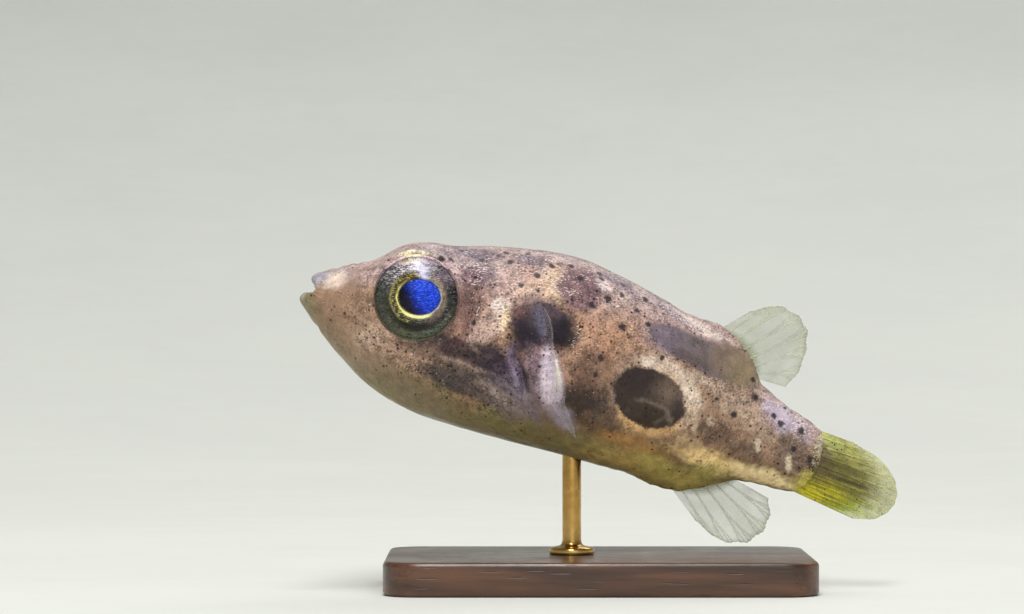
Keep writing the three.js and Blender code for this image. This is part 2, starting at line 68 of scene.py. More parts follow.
# Rings of the body, from the back of the mouth out over the lips and back to the root of the
# tail fin. Each row has the ring's top x, z, its bottom x, z, its half width, how far its sides
# sweep back, and the roundness of its upper and of its lower half (1 is an ellipse).
RINGS = np.array([
    [1.3, 0.62, 1.3, 0.62, 0, 0, 1, 1],
    [1.08, 0.78, 1.06, 0.46, 0.42, 0, 1, 1],
    [0.78, 0.76, 0.72, 0.34, 0.62, 0.05, 1, 1],
    [0.5, 0.7, 0.36, 0.26, 0.74, 0.26, 1, 1],
    [0.31, 0.77, 0.12, 0.17, 0.8, 0.4, 1, 1],
    [0.23, 0.97, 0.02, -0.06, 0.87, 0.44, 1, 1],
    [0.36, 1.18, 0.12, -0.26, 0.92, 0.38, 1, 1],
    [0.62, 1.36, 0.42, -0.5, 0.98, 0.26, 0.97, 1],
    [1.0, 1.64, 0.9, -0.88, 1.18, 0.16, 0.94, 1],
    [1.7, 2.09, 1.6, -1.38, 1.55, 0.1, 0.9, 1],
    [2.66, 2.64, 2.58, -2.0, 1.98, 0.03, 0.82, 1],
    [3.6, 3.62, 3.7, -2.58, 2.32, 0, 0.72, 1],
    [4.6, 4.12, 4.8, -2.97, 2.55, 0, 0.66, 1],
    [5.8, 4.36, 6.0, -3.22, 2.78, 0, 0.72, 0.98],
    [7.2, 4.84, 7.4, -3.3, 3.04, 0, 0.86, 0.95],
    [9.2, 5.37, 9.3, -3.2, 3.3, 0, 0.96, 0.92],
    [11.3, 5.66, 11.45, -3.05, 3.4, 0, 1, 0.9],
    [13.4, 5.48, 13.6, -2.9, 3.22, 0, 1, 0.92],
    [15.4, 5.14, 15.6, -2.8, 2.76, 0, 1, 0.96],
    [17.2, 4.64, 17.3, -2.55, 2.22, 0, 1, 1],
    [18.8, 3.98, 18.9, -2.08, 1.7, 0, 1, 1],
    [20.4, 3.16, 20.5, -1.6, 1.27, 0, 1, 1],
    [21.8, 2.56, 21.9, -1.33, 0.99, 0, 0.95, 0.95],
    [23.0, 2.22, 23.1, -1.23, 0.79, 0, 0.9, 0.9],
    [23.75, 1.99, 23.6, -1.15, 0.6, 0.1, 0.9, 0.9],
    [24.2, 1.55, 24.05, -0.72, 0.36, 0.06, 1, 1],
    [24.42, 0.5, 24.42, 0.5, 0, 0, 1, 1],
])
SKIN_GRID = (426, 230)  # rings along the fish, points round each

# Fleshy ridges under the two fins of the midline: height over the body at each x.
DORSAL_RIDGE = ([16.4, 17.3, 18.1, 18.9, 19.6, 20.2, 20.75], [0, 0.26, 0.62, 0.75, 0.66, 0.44, 0])
ANAL_RIDGE = ([16.3, 17.1, 18.0, 18.8, 19.6, 20.3, 21.0], [0, 0.2, 0.5, 0.66, 0.5, 0.26, 0])
RIDGE_HALF = 0.62

# The fleshy lobe from which a pectoral fin's rays spread, and the slit of the gill before it.
LOBE = dict(x=11.45, z=0.5, across=0.78, along=1.75, lean=math.radians(24), height=0.5)
GILL = dict(x=10.45, z=-0.05, tilt=math.radians(-56), bow=0.13)

# The eye: its centre, radius, the reach of its front, its depth before and behind its widest
# circle, the cornea over it, and the turret of skin that holds it.
EYE = dict(x=5.0, z=1.62, equator=2.17, radius=2.0, edge=1.985, front=0.9, back=1.3)
CORNEA = dict(reach=1.87, clear_of_globe=0.015, sunk=0.06, tucked=0.05)
TURRET = dict(y=2.42, inner=1.95, outer=3.0, midline=(0.8, 1.8), brow=0.1)
PUPIL = dict(u=0.13, v=0.03, wide=0.91, tall=0.78)
EYE_GRID = dict(around=224, front=130, back=17, cornea=48)  # points round, and rings of each

MOUTH_LINE = dict(x=0.3, z=0.44, rise=math.radians(12))
TOOTH = dict(half=0.5, front=0.46, back=0.9, height=0.15, lift=0.055)

# Each fin is a fan of rays: points of its foot, the direction (degrees) and length of its rays
# from the first to the last, how far it waves sideways, and its grid across and along.
DORSAL = dict(
    root=[[18.25, 4.75], [19.0, 4.6], [19.8, 4.1], [20.3, 3.6], [20.62, 3.15]],
    tilt=[49, 55, 47, 33, 3], length=[1.53, 2.4, 2.85, 2.3, 1.2], rays=8, wave=0.14,
    grid=(240, 60),
)
ANAL = dict(
    root=[[18.5, -2.75], [19.2, -2.55], [19.9, -2.15], [20.5, -1.8], [21.1, -1.45]],
    tilt=[-34, -40, -34, -21, -10], length=[1.77, 2.6, 3.15, 2.8, 1.65], rays=7, wave=0.14,
    grid=(210, 60),
)
CAUDAL = dict(
    root=[[23.7, 1.88], [23.95, 1.2], [24.0, 0.42], [23.9, -0.4], [23.55, -1.08]],
    tilt=[-1, 1, -1.7, -3.2, -5.5],
    length=[1.75, 2.85, 3.4, 3.85, 4.12, 4.18, 4.08, 3.8, 3.05], rays=9, scallop=0.008,
    wave=0.1, grid=(300, 90),
)
PECTORAL = dict(
    root=[[10.9, 1.9], [11.4, 1.25], [11.76, 0.55], [12.0, -0.15], [12.1, -0.8]],
    rise=[30, 14, 0, -12, -26], swept=[-16, -10, -4, 10, 34],
    length=[2.3, 3.1, 3.4, 3.2, 2.5], rays=10, curl=0.03, wave=0.06, grid=(280, 60),
)
ROOT_SINK = 0.5  # how far a fin's foot runs on inside the body
SCALLOP = 0.035  # how far a fin's edge dips between two rays, as a share of their length

# The stand: the base's corner radius and bevel, where the rod stands and how far up it starts,
# and the radius and height over the base of each step of its foot.
STAND = dict(corner=1.6, bevel=0.22, rod_at=-1.2, spigot=0.7)
FOOT = [
    (0.9, -0.02), (0.985, 0.02), (1.0, 0.08), (1.0, 0.2), (0.97, 0.27), (0.88, 0.33),
    (0.76, 0.36), (0.6, 0.385), (0.5, 0.43), (0.45, 0.52),
]

# The studio, in metres: each light's place, width and height, watts and colour, where they
# aim, and the camera's place and focal length (millimetres, as are the sensor's).
LIGHTS = {
    "key light": ((-0.015, -0.12, 0.3), (0.07, 0.34), 0.95, (1.0, 0.98, 0.95)),
    "fill light": ((0.06, -0.36, 0.08), (0.3, 0.2), 0.2, (0.96, 0.98, 1.0)),
    "back light": ((0.1, 0.24, 0.26), (0.24, 0.14), 0.25, (1.0, 0.99, 0.97)),
}
LIGHTS_AIM = (0.0, 0.0, 0.012)
ROOM = dict(colour=(0.95, 0.98, 1.0, 1), strength=0.36)
CAMERA = dict(place=(-0.00387, -0.18, 0.01255), sensor_width=36, lens=141.6)


def tone(red, green, blue):
    """A colour given as 0-255 on screen, as the linear values that Blender works with."""
    share = np.array([red, green, blue]) / 255
    return np.where(share <= 0.04045, share / 12.92, ((share + 0.055) / 1.055) ** 2.4)


# ---- settings -----------------------------------------------------------------------------


def colour_setting(name, description, red, green, blue):
    """A colour property with its default given as 0-255 on screen."""
    return FloatVectorProperty(
        name=name, description=description, subtype="COLOR", size=3, min=0, max=1,
        default=tuple(tone(red, green, blue)),
    )


def length_setting(name, description, millimetres):
    """A length property with its default given in millimetres."""
    return FloatProperty(
        name=name, description=description, default=millimetres * MM, min=0,
        unit="LENGTH", subtype="DISTANCE", precision=5,
    )


class PufferSizes(bpy.types.PropertyGroup):
    """Sizes of the model that a user may want to change."""

    relief: FloatProperty(
        name="Skin relief", description="How strongly folds and pores stand out of the skin",
        default=1.0, min=0, max=3, subtype="FACTOR",
    )
    fin_edge: length_setting("Fin edge", "Thickness of a fin's web at its edge", 0.06)
    fin_foot: length_setting("Fin foot", "Thickness of a fin's web at its foot", 0.24)
    ray: length_setting("Fin ray", "How far a ray stands out of its web at the foot", 0.06)
    lens: length_setting("Lens", "How far the lens bulges out of the pupil", 0.24)
    base_height: length_setting("Base height", "Height of the stand's base", 1.5)
    rod_radius: length_setting("Rod radius", "Radius of the stand's rod", 0.42)


class PufferColours(bpy.types.PropertyGroup):
    """Main colours of the model."""

    back: colour_setting("Back", "Skin along the back", 178, 152, 148)
    flank: colour_setting("Flank", "Skin along the middle of the flank", 168, 132, 110)
    belly: colour_setting("Belly", "Skin of the underside", 128, 116, 78)
    dots: colour_setting("Dots", "Round dark dots of the skin", 38, 29, 40)
    pupil: colour_setting("Pupil", "Blue shine of the lens", 6, 42, 180)
    fin: colour_setting("Clear fins", "Web of the dorsal and anal fins", 146, 152, 104)
    pectoral: colour_setting("Pectoral fins", "Web of the pectoral fins", 176, 168, 184)
    tail: colour_setting("Tail fin", "Web of the tail fin", 142, 134, 58)
    wood: colour_setting("Wood", "Base of the stand", 84, 52, 34)
    brass: colour_setting("Brass", "Rod of the stand", 202, 166, 100)


# ---- curves and fields --------------------------------------------------------------------


def smooth(value, low, high):
    """0 below low, 1 above high, and the curve 3s^2 - 2s^3 of the share s between them."""
    share = np.clip((value - low) / (high - low), 0, 1)
    return share * share * (3 - 2 * share)


def bell(value):
    """The bump e^(-v^2): 1 at 0 and about a third at 1."""
    return np.exp(-value * value)


def mixed(low, high, share):
    """Straight-line mix of two values or colours, one share for each point."""
    share = np.asarray(share)[..., None] if np.ndim(high) or np.ndim(low) else share
    return low + (high - low) * share


def through(knots, t):
    """A smooth curve through evenly spaced knots (Catmull-Rom).

    At t knots from the first, the value is the cubic that passes through the knots on both
    sides with the slopes that their own neighbours give. t may be an array of any shape.
    """
    knots = np.asarray(knots, float)
    t = np.asarray(t, float)
    last = len(knots) - 1
    start = np.clip(np.floor(t).astype(int), 0, last - 1)
    f = (t - start).reshape(t.shape + (1,) * (knots.ndim - 1))
    a, b, c, d = (knots[np.clip(start + step, 0, last)] for step in (-1, 0, 1, 2))
    return b + 0.5 * f * (c - a + f * (2 * a - 5 * b + 4 * c - d + (3 * (b - c) + d - a) * f))


def ripple(points, size, seed, waves=6):
    """Smooth noise around 0: the mean of sine waves in seeded directions, size mm long."""
    rng = np.random.default_rng(seed)
    total = np.zeros(points.shape[:-1])
    for _ in range(waves):
        way = rng.normal(size=3)
        length = size * rng.uniform(0.7, 1.5)
        turns = points @ (way / np.linalg.norm(way)) / length
        total += np.sin(2 * math.pi * (turns + rng.uniform()))
    return total / waves * 1.6


def turned(x, z, tilt):
    """x and z measured along and across a direction tilt (radians) above the fish's axis."""
    return x * np.cos(tilt) + z * np.sin(tilt), z * np.cos(tilt) - x * np.sin(tilt)


EYE_LOW, EYE_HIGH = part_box("eye_left")


def placed(points):
    """Fish millimetres to row metres: pitched nose-up about y, with the left eye's centre
    on the middle of the CAD eye's box."""
    x, y, z = np.moveaxis(np.asarray(points, float) * MM, -1, 0)
    cos, sin = math.cos(SWIM_PITCH), math.sin(SWIM_PITCH)
    shift_x = (EYE_LOW.x + EYE_HIGH.x) / 2 - (EYE["x"] * cos + EYE["z"] * sin) * MM
    shift_z = (EYE_LOW.z + EYE_HIGH.z) / 2 - (EYE["z"] * cos - EYE["x"] * sin) * MM
    return np.stack([shift_x + x * cos + z * sin, y, shift_z + z * cos - x * sin], -1)


# ---- meshes -------------------------------------------------------------------------------


def lofted(name, rings, first="point", last="point", **attributes):
    """A closed surface over rings[n, m] of points in metres, with its map and attributes.

    Neighbouring rings are joined by quads. An end is a "point" where its whole ring is one
    place, or a "strip" where its ring runs out along one side and back along the other, and
    quads join the two sides. Attributes are arrays over the same grid.
    """
    count, around = rings.shape[:2]
    index = np.arange(count * around).reshape(count, around)
    ahead = np.roll(index, -1, axis=1)
    quads = np.stack([index[:-1], ahead[:-1], ahead[1:], index[1:]], -1).reshape(-1, 4)
    # The map: a square each, all round the tile, with room for the two end strips.
    size = np.array([1 / around, 1 / (count - 1)])
    squares = np.stack(np.meshgrid(np.arange(around), np.arange(count - 1)), -1)[:, :, None]
    maps = ((squares + [[0, 0], [1, 0], [1, 1], [0, 1]]) * size).reshape(-1, 4, 2)
    maps = maps * [0.996, 0.97] + [0.002, 0.015]
    for end, row in ((first, 0), (last, count - 1)):
        if end == "strip":
            half = around // 2
            step = np.arange(half - 1)
            strip = index[row][np.stack([step, -1 - step, -2 - step, step + 1], -1)]
            quads = np.concatenate([quads, strip[:, ::-1] if row else strip])
            spot = (step / half)[:, None, None] * [0.99, 0] + [0.004, 0.992 if row else 0.004]
            maps = np.concatenate([maps, np.broadcast_to(spot, (half - 1, 4, 2))])
        else:
            index[row] = index[row, 0]
    quads = index.ravel()[quads]
    kept, quads = np.unique(quads, return_inverse=True)
    quads = quads.reshape(-1, 4)
    points = rings.reshape(-1, 3)[kept]

    # Faces are turned outwards, and one that meets an end point becomes a triangle.
    corners = points[quads]
    spread = np.cross(corners[:, 2] - corners[:, 0], corners[:, 3] - corners[:, 1])
    if np.einsum("ij,ij->", corners.mean(1) - points.mean(0), spread) < 0:
        quads, maps = quads[:, ::-1], maps[:, ::-1]
    faces, places = [], []
    for face, spots in zip(quads.tolist(), maps.tolist()):
        single = [n for n in range(4) if face[n] != face[n - 1]]
        faces.append([face[n] for n in single])
        places.extend(spots[n] for n in single)

    mesh = bpy.data.meshes.new(name)
    mesh.from_pydata(points.tolist(), [], faces)
    mesh.uv_layers.new(name="OFBake").uv.foreach_set("vector", np.ravel(places))
    for title, values in attributes.items():
        values = np.asarray(values, float).reshape(count * around, -1)[kept]
        kind, key = "FLOAT", "value"
        if values.shape[1] > 1:
            kind, key = "FLOAT_COLOR", "color"
            values = np.clip(np.pad(values, ((0, 0), (0, 1)), constant_values=1), 0, 1)
        mesh.attributes.new(title, kind, "POINT").data.foreach_set(key, values.ravel())
    mesh.shade_smooth()
    return linked(name, mesh)


def linked(name, data):
    """A new object for a mesh, a light or a camera, put in the scene."""
    made = bpy.data.objects.new(name, data)
    bpy.context.scene.collection.objects.link(made)
    return made


def finished(piece, slot, material, *nodes):
    """Gives a piece its material and its body, and hides the CAD nodes it stands for. slot is not
    used.
    """
    piece.data.materials.append(material)
    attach(piece, "root")
    if nodes:
        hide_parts(*nodes)
    return piece


# ---- shader helpers -----------------------------------------------------------------------


def add(tree, kind, inputs=None, **settings):
    """Adds a node. inputs maps its sockets to values, or to the sockets that feed them."""
    node = tree.nodes.new("ShaderNode" + kind)
    for key, value in settings.items():
        setattr(node, key, value)
    for key, value in (inputs or {}).items():
        if isinstance(value, bpy.types.NodeSocket):
            tree.links.new(value, node.inputs[key])
        else:
            node.inputs[key].default_value = value
    return node


def blend(tree, factor, low, high, way="MIX"):
    """Mixes two colours by factor."""
    inputs = {0: factor, 6: low, 7: high}
    return add(tree, "Mix", inputs, data_type="RGBA", blend_type=way).outputs[2]


def maths(tree, operation, first, second=0.0, third=0.0):
    """One arithmetic step on two or three values."""
    return add(tree, "Math", {0: first, 1: second, 2: third}, operation=operation).outputs[0]


def span(tree, value, low, high, to_low=0.0, to_high=1.0):
    """Carries value from low..high to to_low..to_high, eased at both ends."""
    inputs = {0: value, 1: low, 2: high, 3: to_low, 4: to_high}
    return add(tree, "MapRange", inputs, interpolation_type="SMOOTHSTEP").outputs[0]


def colour(values):
    """A linear colour with its alpha."""
    return (*(float(v) for v in values), 1.0)


def own_place(tree, scale=None):
    """A piece's own coordinates in metres, times scale along each axis if that is given."""
    place = add(tree, "TexCoord").outputs["Object"]
    if scale is None:
        return place
    return add(tree, "Mapping", {"Vector": place, "Scale": scale}).outputs[0]


def noise(tree, place, scale, detail=2.0, output=0):
    """Smooth random values around 0.5, in patches 1 / scale long, or random colours."""
    inputs = {"Vector": place, "Scale": scale, "Detail": detail}
    return add(tree, "TexNoise", inputs).outputs[output]


def stored(tree, name, output="Fac"):
    """Reads one of a piece's own attributes."""
    return add(tree, "Attribute", attribute_name=name).outputs[output]


def bump(tree, height, distance, strength=1.0, **under):
    """A bump whose height of 1 stands distance (metres) out of the surface, or of the
    bumped surface given as Normal."""
    inputs = {"Height": height, "Distance": distance, "Strength": strength, **under}
    return add(tree, "Bump", inputs).outputs[0]


def input_of(shader, key):
    """A Principled shader's input, its name spelt as a keyword."""
    return shader.inputs[key.replace("_", " ").title().replace("Ior", "IOR")]


def new_material(name, **values):
    """A material with a Principled shader set to plain values: (material, tree, shader)."""
    made = bpy.data.materials.new(name)
    made.use_nodes = True
    shader = made.node_tree.nodes["Principled BSDF"]
    for key, value in values.items():
        input_of(shader, key).default_value = value
    return made, made.node_tree, shader


def feed(tree, shader, **sockets):
    """Links sockets to the shader's inputs, which are named by keyword."""
    for key, value in sockets.items():
        tree.links.new(value, input_of(shader, key))


def new_group(name, outputs, **inputs):
    """An empty node group: (tree, what enters it, what leaves it).

    An input's kind follows from its default: a number, a vector of three or a colour of four.
    """
    tree = bpy.data.node_groups.new(name, "ShaderNodeTree")
    for title, default in inputs.items():
        kind = {1: "Float", 3: "Vector", 4: "Color"}[np.size(default)]
        socket = tree.interface.new_socket(title, in_out="INPUT", socket_type="NodeSocket" + kind)
        socket.default_value = default
    for title, kind in outputs.items():
        tree.interface.new_socket(title, in_out="OUTPUT", socket_type="NodeSocket" + kind)
    enter, leave = tree.nodes.new("NodeGroupInput"), tree.nodes.new("NodeGroupOutput")
    return tree, enter.outputs, leave


def pigment_group(name):
    """Pigment: a mottled base colour, pale glints, and dark cells in a random net. The glints are
    partly pale shiny cells and partly painted sparkle of light on them.

    Two noises brighten and darken the base by Mottle. Glints show where a noise, pressed
    together by Stretch, passes a mark that falls as Glints rises. A cell shows where its
    random number is under Amount, so a higher Amount gives more cells.
    """
    tree, enter, leave = new_group(
        name, {"Color": "Color", "Height": "Float", "Glint": "Float"},
        Base=(0.5, 0.5, 0.5, 1), Dark=(0.1, 0.1, 0.1, 1), Light=(0.9, 0.9, 0.9, 1),
        Cells=8000.0, Amount=0.5, Glints=0.3, Mottle=0.3, Stretch=(0.65, 1.0, 1.3),
    )
    place = own_place(tree)
    drift = noise(tree, place, enter["Cells"], output="Color")
    bend = add(tree, "VectorMath", {0: drift, 1: (0.00006,) * 3}, operation="MULTIPLY")
    bent = add(tree, "VectorMath", {0: place, 1: bend.outputs[0]}).outputs[0]
    slow = noise(tree, place, maths(tree, "MULTIPLY", enter["Cells"], 0.42))
    quick = noise(tree, place, maths(tree, "MULTIPLY", enter["Cells"], 1.7))
    grain = maths(tree, "ADD", slow, maths(tree, "MULTIPLY", quick, 1.3))
    swing = span(tree, grain, 0.8, 1.5, -1.0, 1.0)
    swing = maths(tree, "MULTIPLY_ADD", swing, enter["Mottle"], 1.0)
    shown = add(tree, "VectorMath", {0: enter["Base"], "Scale": swing}, operation="SCALE")

    pressed = add(tree, "Mapping", {"Vector": bent, "Scale": enter["Stretch"]}).outputs[0]
    spark = noise(tree, pressed, maths(tree, "MULTIPLY", enter["Cells"], 1.9), 1.0)
    mark = span(tree, enter["Glints"], 0.0, 1.0, 0.78, 0.5)
    glint = span(tree, maths(tree, "SUBTRACT", spark, mark), -0.03, 0.1)
    shown = blend(tree, glint, shown.outputs[0], enter["Light"])

    cells = add(tree, "TexVoronoi", {"Vector": bent, "Scale": enter["Cells"]})
    luck = add(tree, "SeparateColor", {0: cells.outputs["Color"]}).outputs
    size = span(tree, luck[1], 0.0, 1.0, 0.2, 0.5)
    body = span(tree, maths(tree, "SUBTRACT", size, cells.outputs["Distance"]), -0.06, 0.2)
    chosen = maths(tree, "LESS_THAN", luck[0], enter["Amount"])
    depth = span(tree, luck[2], 0.0, 1.0, 0.3, 1.0)
    dark = maths(tree, "MULTIPLY", maths(tree, "MULTIPLY", body, chosen), depth)
    relief = maths(tree, "SUBTRACT", maths(tree, "ADD", glint, quick), dark)
    shown = blend(tree, dark, shown, enter["Dark"])
    feed(tree, leave, color=shown, height=relief, glint=glint)
    return tree


def patina_group(name):
    """A slow and a fast noise mixed, for roughness and colour that change over a surface."""
    tree, enter, leave = new_group(
        name, {"Value": "Float", "Mask": "Float"}, Scale=800.0, Low=0.3, High=0.5
    )
    place = own_place(tree)
    slow = noise(tree, place, enter["Scale"], 3.0)
    fast = noise(tree, place, maths(tree, "MULTIPLY", enter["Scale"], 7.0))
    both = maths(tree, "ADD", slow, maths(tree, "MULTIPLY", fast, 0.35))
    mask = span(tree, both, 0.45, 0.9)
    value = add(tree, "MapRange", {0: mask, 3: enter["Low"], 4: enter["High"]}).outputs[0]
    feed(tree, leave, value=value, mask=mask)
    return tree


GROUPS = {"pigment cells": pigment_group, "patina": patina_group}


def use(tree, name, **inputs):
    """Places a node group, built when it is first asked for, with its inputs by keyword."""
    group = bpy.data.node_groups.get(name) or GROUPS[name](name)
    return add(tree, "Group", inputs, node_tree=group).outputs


# ---- the skin -----------------------------------------------------------------------------


def ring_places(count):
    """Ring positions t, spaced evenly by the distance that back, belly and sides run over,
    with rings on the head half as far apart again as behind it."""
    t = np.linspace(0, len(RINGS) - 1, 6001)
    rows = through(RINGS, t)
    middle = (rows[:, 0:2] + rows[:, 2:4]) / 2
    middle[:, 0] += rows[:, 5]
    tracks = (rows[:, 0:2], rows[:, 2:4], middle)
    runs = [np.hypot(*np.diff(track, axis=0).T) for track in tracks]
    step = np.max(runs, 0) * (1.55 - 0.55 * smooth(middle[1:, 0], 7, 10))
    way = np.concatenate([[0], np.cumsum(step)])
    places = np.interp(np.linspace(0, way[-1], count), way, t)
    places[[0, -1]] = 0, len(RINGS) - 1
    return places


def lobe_at(x, z):
    """How far the pectoral lobe lifts the flank: the product of a bell across and one along."""
    along, across = turned(x - LOBE["x"], z - LOBE["z"], math.pi / 2 + LOBE["lean"])
    return LOBE["height"] * bell(across / LOBE["across"]) * bell(along / LOBE["along"])


def skin_base(t, turn):
    """The body's smooth shape, as the solids have it, and how high each point sits (-1 to 1).

    A point of ring t lies in direction turn from the ring's middle: up the cosine and out the
    sine of it, both stretched until up^p + out^p = 1, with p two over the roundness. Ridges,
    eye turrets and pectoral lobes are then raised out of it.
    """
    back_x, back_z, belly_x, belly_z, half, sweep, crown, keel = np.moveaxis(
        through(RINGS, t), -1, 0
    )
    up, out = np.cos(turn), np.sin(turn)
    power = 2 / np.where(up > 0, crown, keel)
    stretch = (np.abs(up) ** power + np.abs(out) ** power) ** (-1 / power)
    high, wide = up * stretch, out * stretch
    x = (back_x + belly_x) / 2 + (back_x - belly_x) / 2 * high + sweep * wide**2
    y = -np.maximum(half, 0) * wide
    z = (back_z + belly_z) / 2 + (back_z - belly_z) / 2 * high

    for (known, height), side in ((DORSAL_RIDGE, 1), (ANAL_RIDGE, -1)):
        ridge = np.interp(x, known, height) * bell(y / RIDGE_HALF)
        z = z + side * np.where(up * side > 0, ridge, 0)

    reach = np.hypot(x - EYE["x"], z - EYE["z"])
    held = 1 - smooth(reach, TURRET["inner"], TURRET["outer"])
    held = held * smooth(np.abs(y), *TURRET["midline"])
    y = y + held * (np.sign(y) * TURRET["y"] - y)
    z = z + held * TURRET["brow"] * smooth(z - EYE["z"], 0.8, 2.2)
    y = y + np.sign(y) * lobe_at(x, z) * smooth(np.abs(y), 1.5, 2.5)
    return np.stack([x, y, z], -1), high


def outward(points):
    """Unit normals over a grid of rings, from the cross product of its two directions."""
    along = np.gradient(points, axis=0)
    around = np.roll(points, -1, axis=1) - np.roll(points, 1, axis=1)
    normal = np.cross(around, along)
    size = np.linalg.norm(normal, axis=-1, keepdims=True)
    normal = normal / np.maximum(size, 1e-9)
    centre = points.mean(1, keepdims=True)
    return normal * np.sign(np.sum(normal * (points - centre), -1).mean())


def skin_relief(points, high):
    """Height of folds, slits and bumps over the smooth body, in millimetres.

    It is a sum of bells and waves: a roll round each eye with a furrow outside it, the gill
    slit and the ridge before it, ray roots on the pectoral lobe, wrinkles on lips and cheek,
    nostrils, faint muscle bands on the tail, a pleated belly and a slow unevenness.
    """
    x, y, z = np.moveaxis(points, -1, 0)
    out = np.abs(y)
    flank = smooth(out, 1.3, 2.0)

    def wave(place, length):
        return np.cos(place / length * 2 * math.pi)

    # Round the eye: roll, furrow, the pit under the eyeball, creases before it and the brow.
    ring_x, ring_z = x - EYE["x"], z - EYE["z"]
    reach = np.hypot(ring_x, ring_z)
    angle = np.arctan2(ring_z, ring_x)
    uneven = 1 + 0.25 * np.sin(3 * angle + 0.6) + 0.15 * np.sin(7 * angle + np.sign(y))
    height = flank * (
        0.055 * bell((reach - 2.07) / 0.11) * uneven
        - 0.035 * bell((reach - 2.35) / 0.16) * uneven * (1 + 0.6 * ripple(points, 1.3, 14))
        - 0.5 * (1 - smooth(reach, 1.45, 1.85))
    )
    before = smooth(-ring_x, 0.6, 1.8) * (1 - smooth(np.abs(ring_z + 0.3), 1.2, 2.2))
    height += 0.016 * flank * before * wave(reach - 2.75, 0.3) * bell((reach - 3.1) / 0.45)
    brow = smooth(out, 1.7, 2.3) * smooth(ring_z, 0.9, 1.9)
    height -= 0.2 * brow * bell((reach - 2.55) / 0.32)

    # The gill slit with the ridge before it, the fold under the cheek and the roots of rays.
    along, across = turned(x - GILL["x"], z - GILL["z"], GILL["tilt"])
    across = across + GILL["bow"] * along**2
    height += flank * (
        -0.24 * bell(across / 0.105) * (1 - smooth(np.abs(along), 0.62, 1.05))
        + 0.15 * bell((across + 0.27) / 0.17) * (1 - smooth(np.abs(along), 0.7, 1.4))
    )
    along, across = turned(x - 8.6, z + 0.62, math.radians(-8))
    across = across + 0.09 * along**2
    height += flank * 0.07 * (1 - smooth(np.abs(along), 1.5, 2.4)) * (
        bell((across - 0.05) / 0.17) - 0.8 * bell((across - 0.34) / 0.16)
        - 0.5 * bell((across + 0.22) / 0.14)
    )
    along, across = turned(x - LOBE["x"], z - LOBE["z"], math.pi / 2 + LOBE["lean"])
    on_lobe = bell(across / 0.5) * (1 - smooth(np.abs(along), 1.1, 1.6))
    height += flank * 0.035 * on_lobe * wave(along, 0.31)

    # Lips, snout, nostrils and the pore below them.
    lips = 1 - smooth(x, 0.7, 1.3)
    turn = np.arctan2(y, (z - 0.45) * 1.3)
    height += 0.012 * lips * np.cos(24 * turn + 0.8 * np.sin(3 * turn))
    height -= 0.05 * bell((x - 1.18 + 0.12 * out) / 0.14) * smooth(np.abs(z - 0.5), 0.3, 0.9)
    height += 0.02 * wave(x - 0.35 * z, 0.34) * bell((x - 1.9) / 0.6) * smooth(z, -0.2, 0.9)
    nostril = np.hypot(x - 2.35, (z - 1.55) * 0.85)
    height += smooth(out, 0.5, 0.9) * (0.13 * bell(nostril / 0.17) - 0.16 * bell(nostril / 0.07))
    pore = np.hypot(x - 2.57, z - 0.22)
    height += smooth(out, 0.6, 1.0) * 0.05 * (bell(pore / 0.13) - bell(pore / 0.05))

    # Muscle bands of the tail and the fan of its root, pleats of the belly, and the vent.
    bands = np.sin((x + 0.55 * np.abs(z - 0.45)) / 0.62 * 2 * math.pi)
    height += 0.012 * bands * smooth(x, 14, 17) * (1 - smooth(x, 22.6, 23.6))
    fan = smooth(x, 22.9, 23.5) * (1 - smooth(x, 24.1, 24.4))
    height += 0.03 * fan * wave(z - 0.4, 0.36)
    under = smooth(-high, 0.35, 0.75) * smooth(x, 3, 6) * (1 - smooth(x, 15.5, 17.5))
    pleat = np.sin(np.arctan2(y, -z - 0.5) * 17 + 1.4 * ripple(points, 3.0, 11))
    height += 0.014 * under * pleat * (0.6 + 0.4 * ripple(points, 1.4, 12))
    vent = np.hypot(x - 17.35, y * 1.6)
    height += (high < -0.5) * (0.08 * bell(vent / 0.22) - 0.1 * bell(vent / 0.09))

    slow, quick = ripple(points, 1.9, 21, 8), ripple(points, 0.55, 22, 9)
    return height + smooth(x, 0.8, 2.4) * (0.026 * slow + 0.007 * quick)


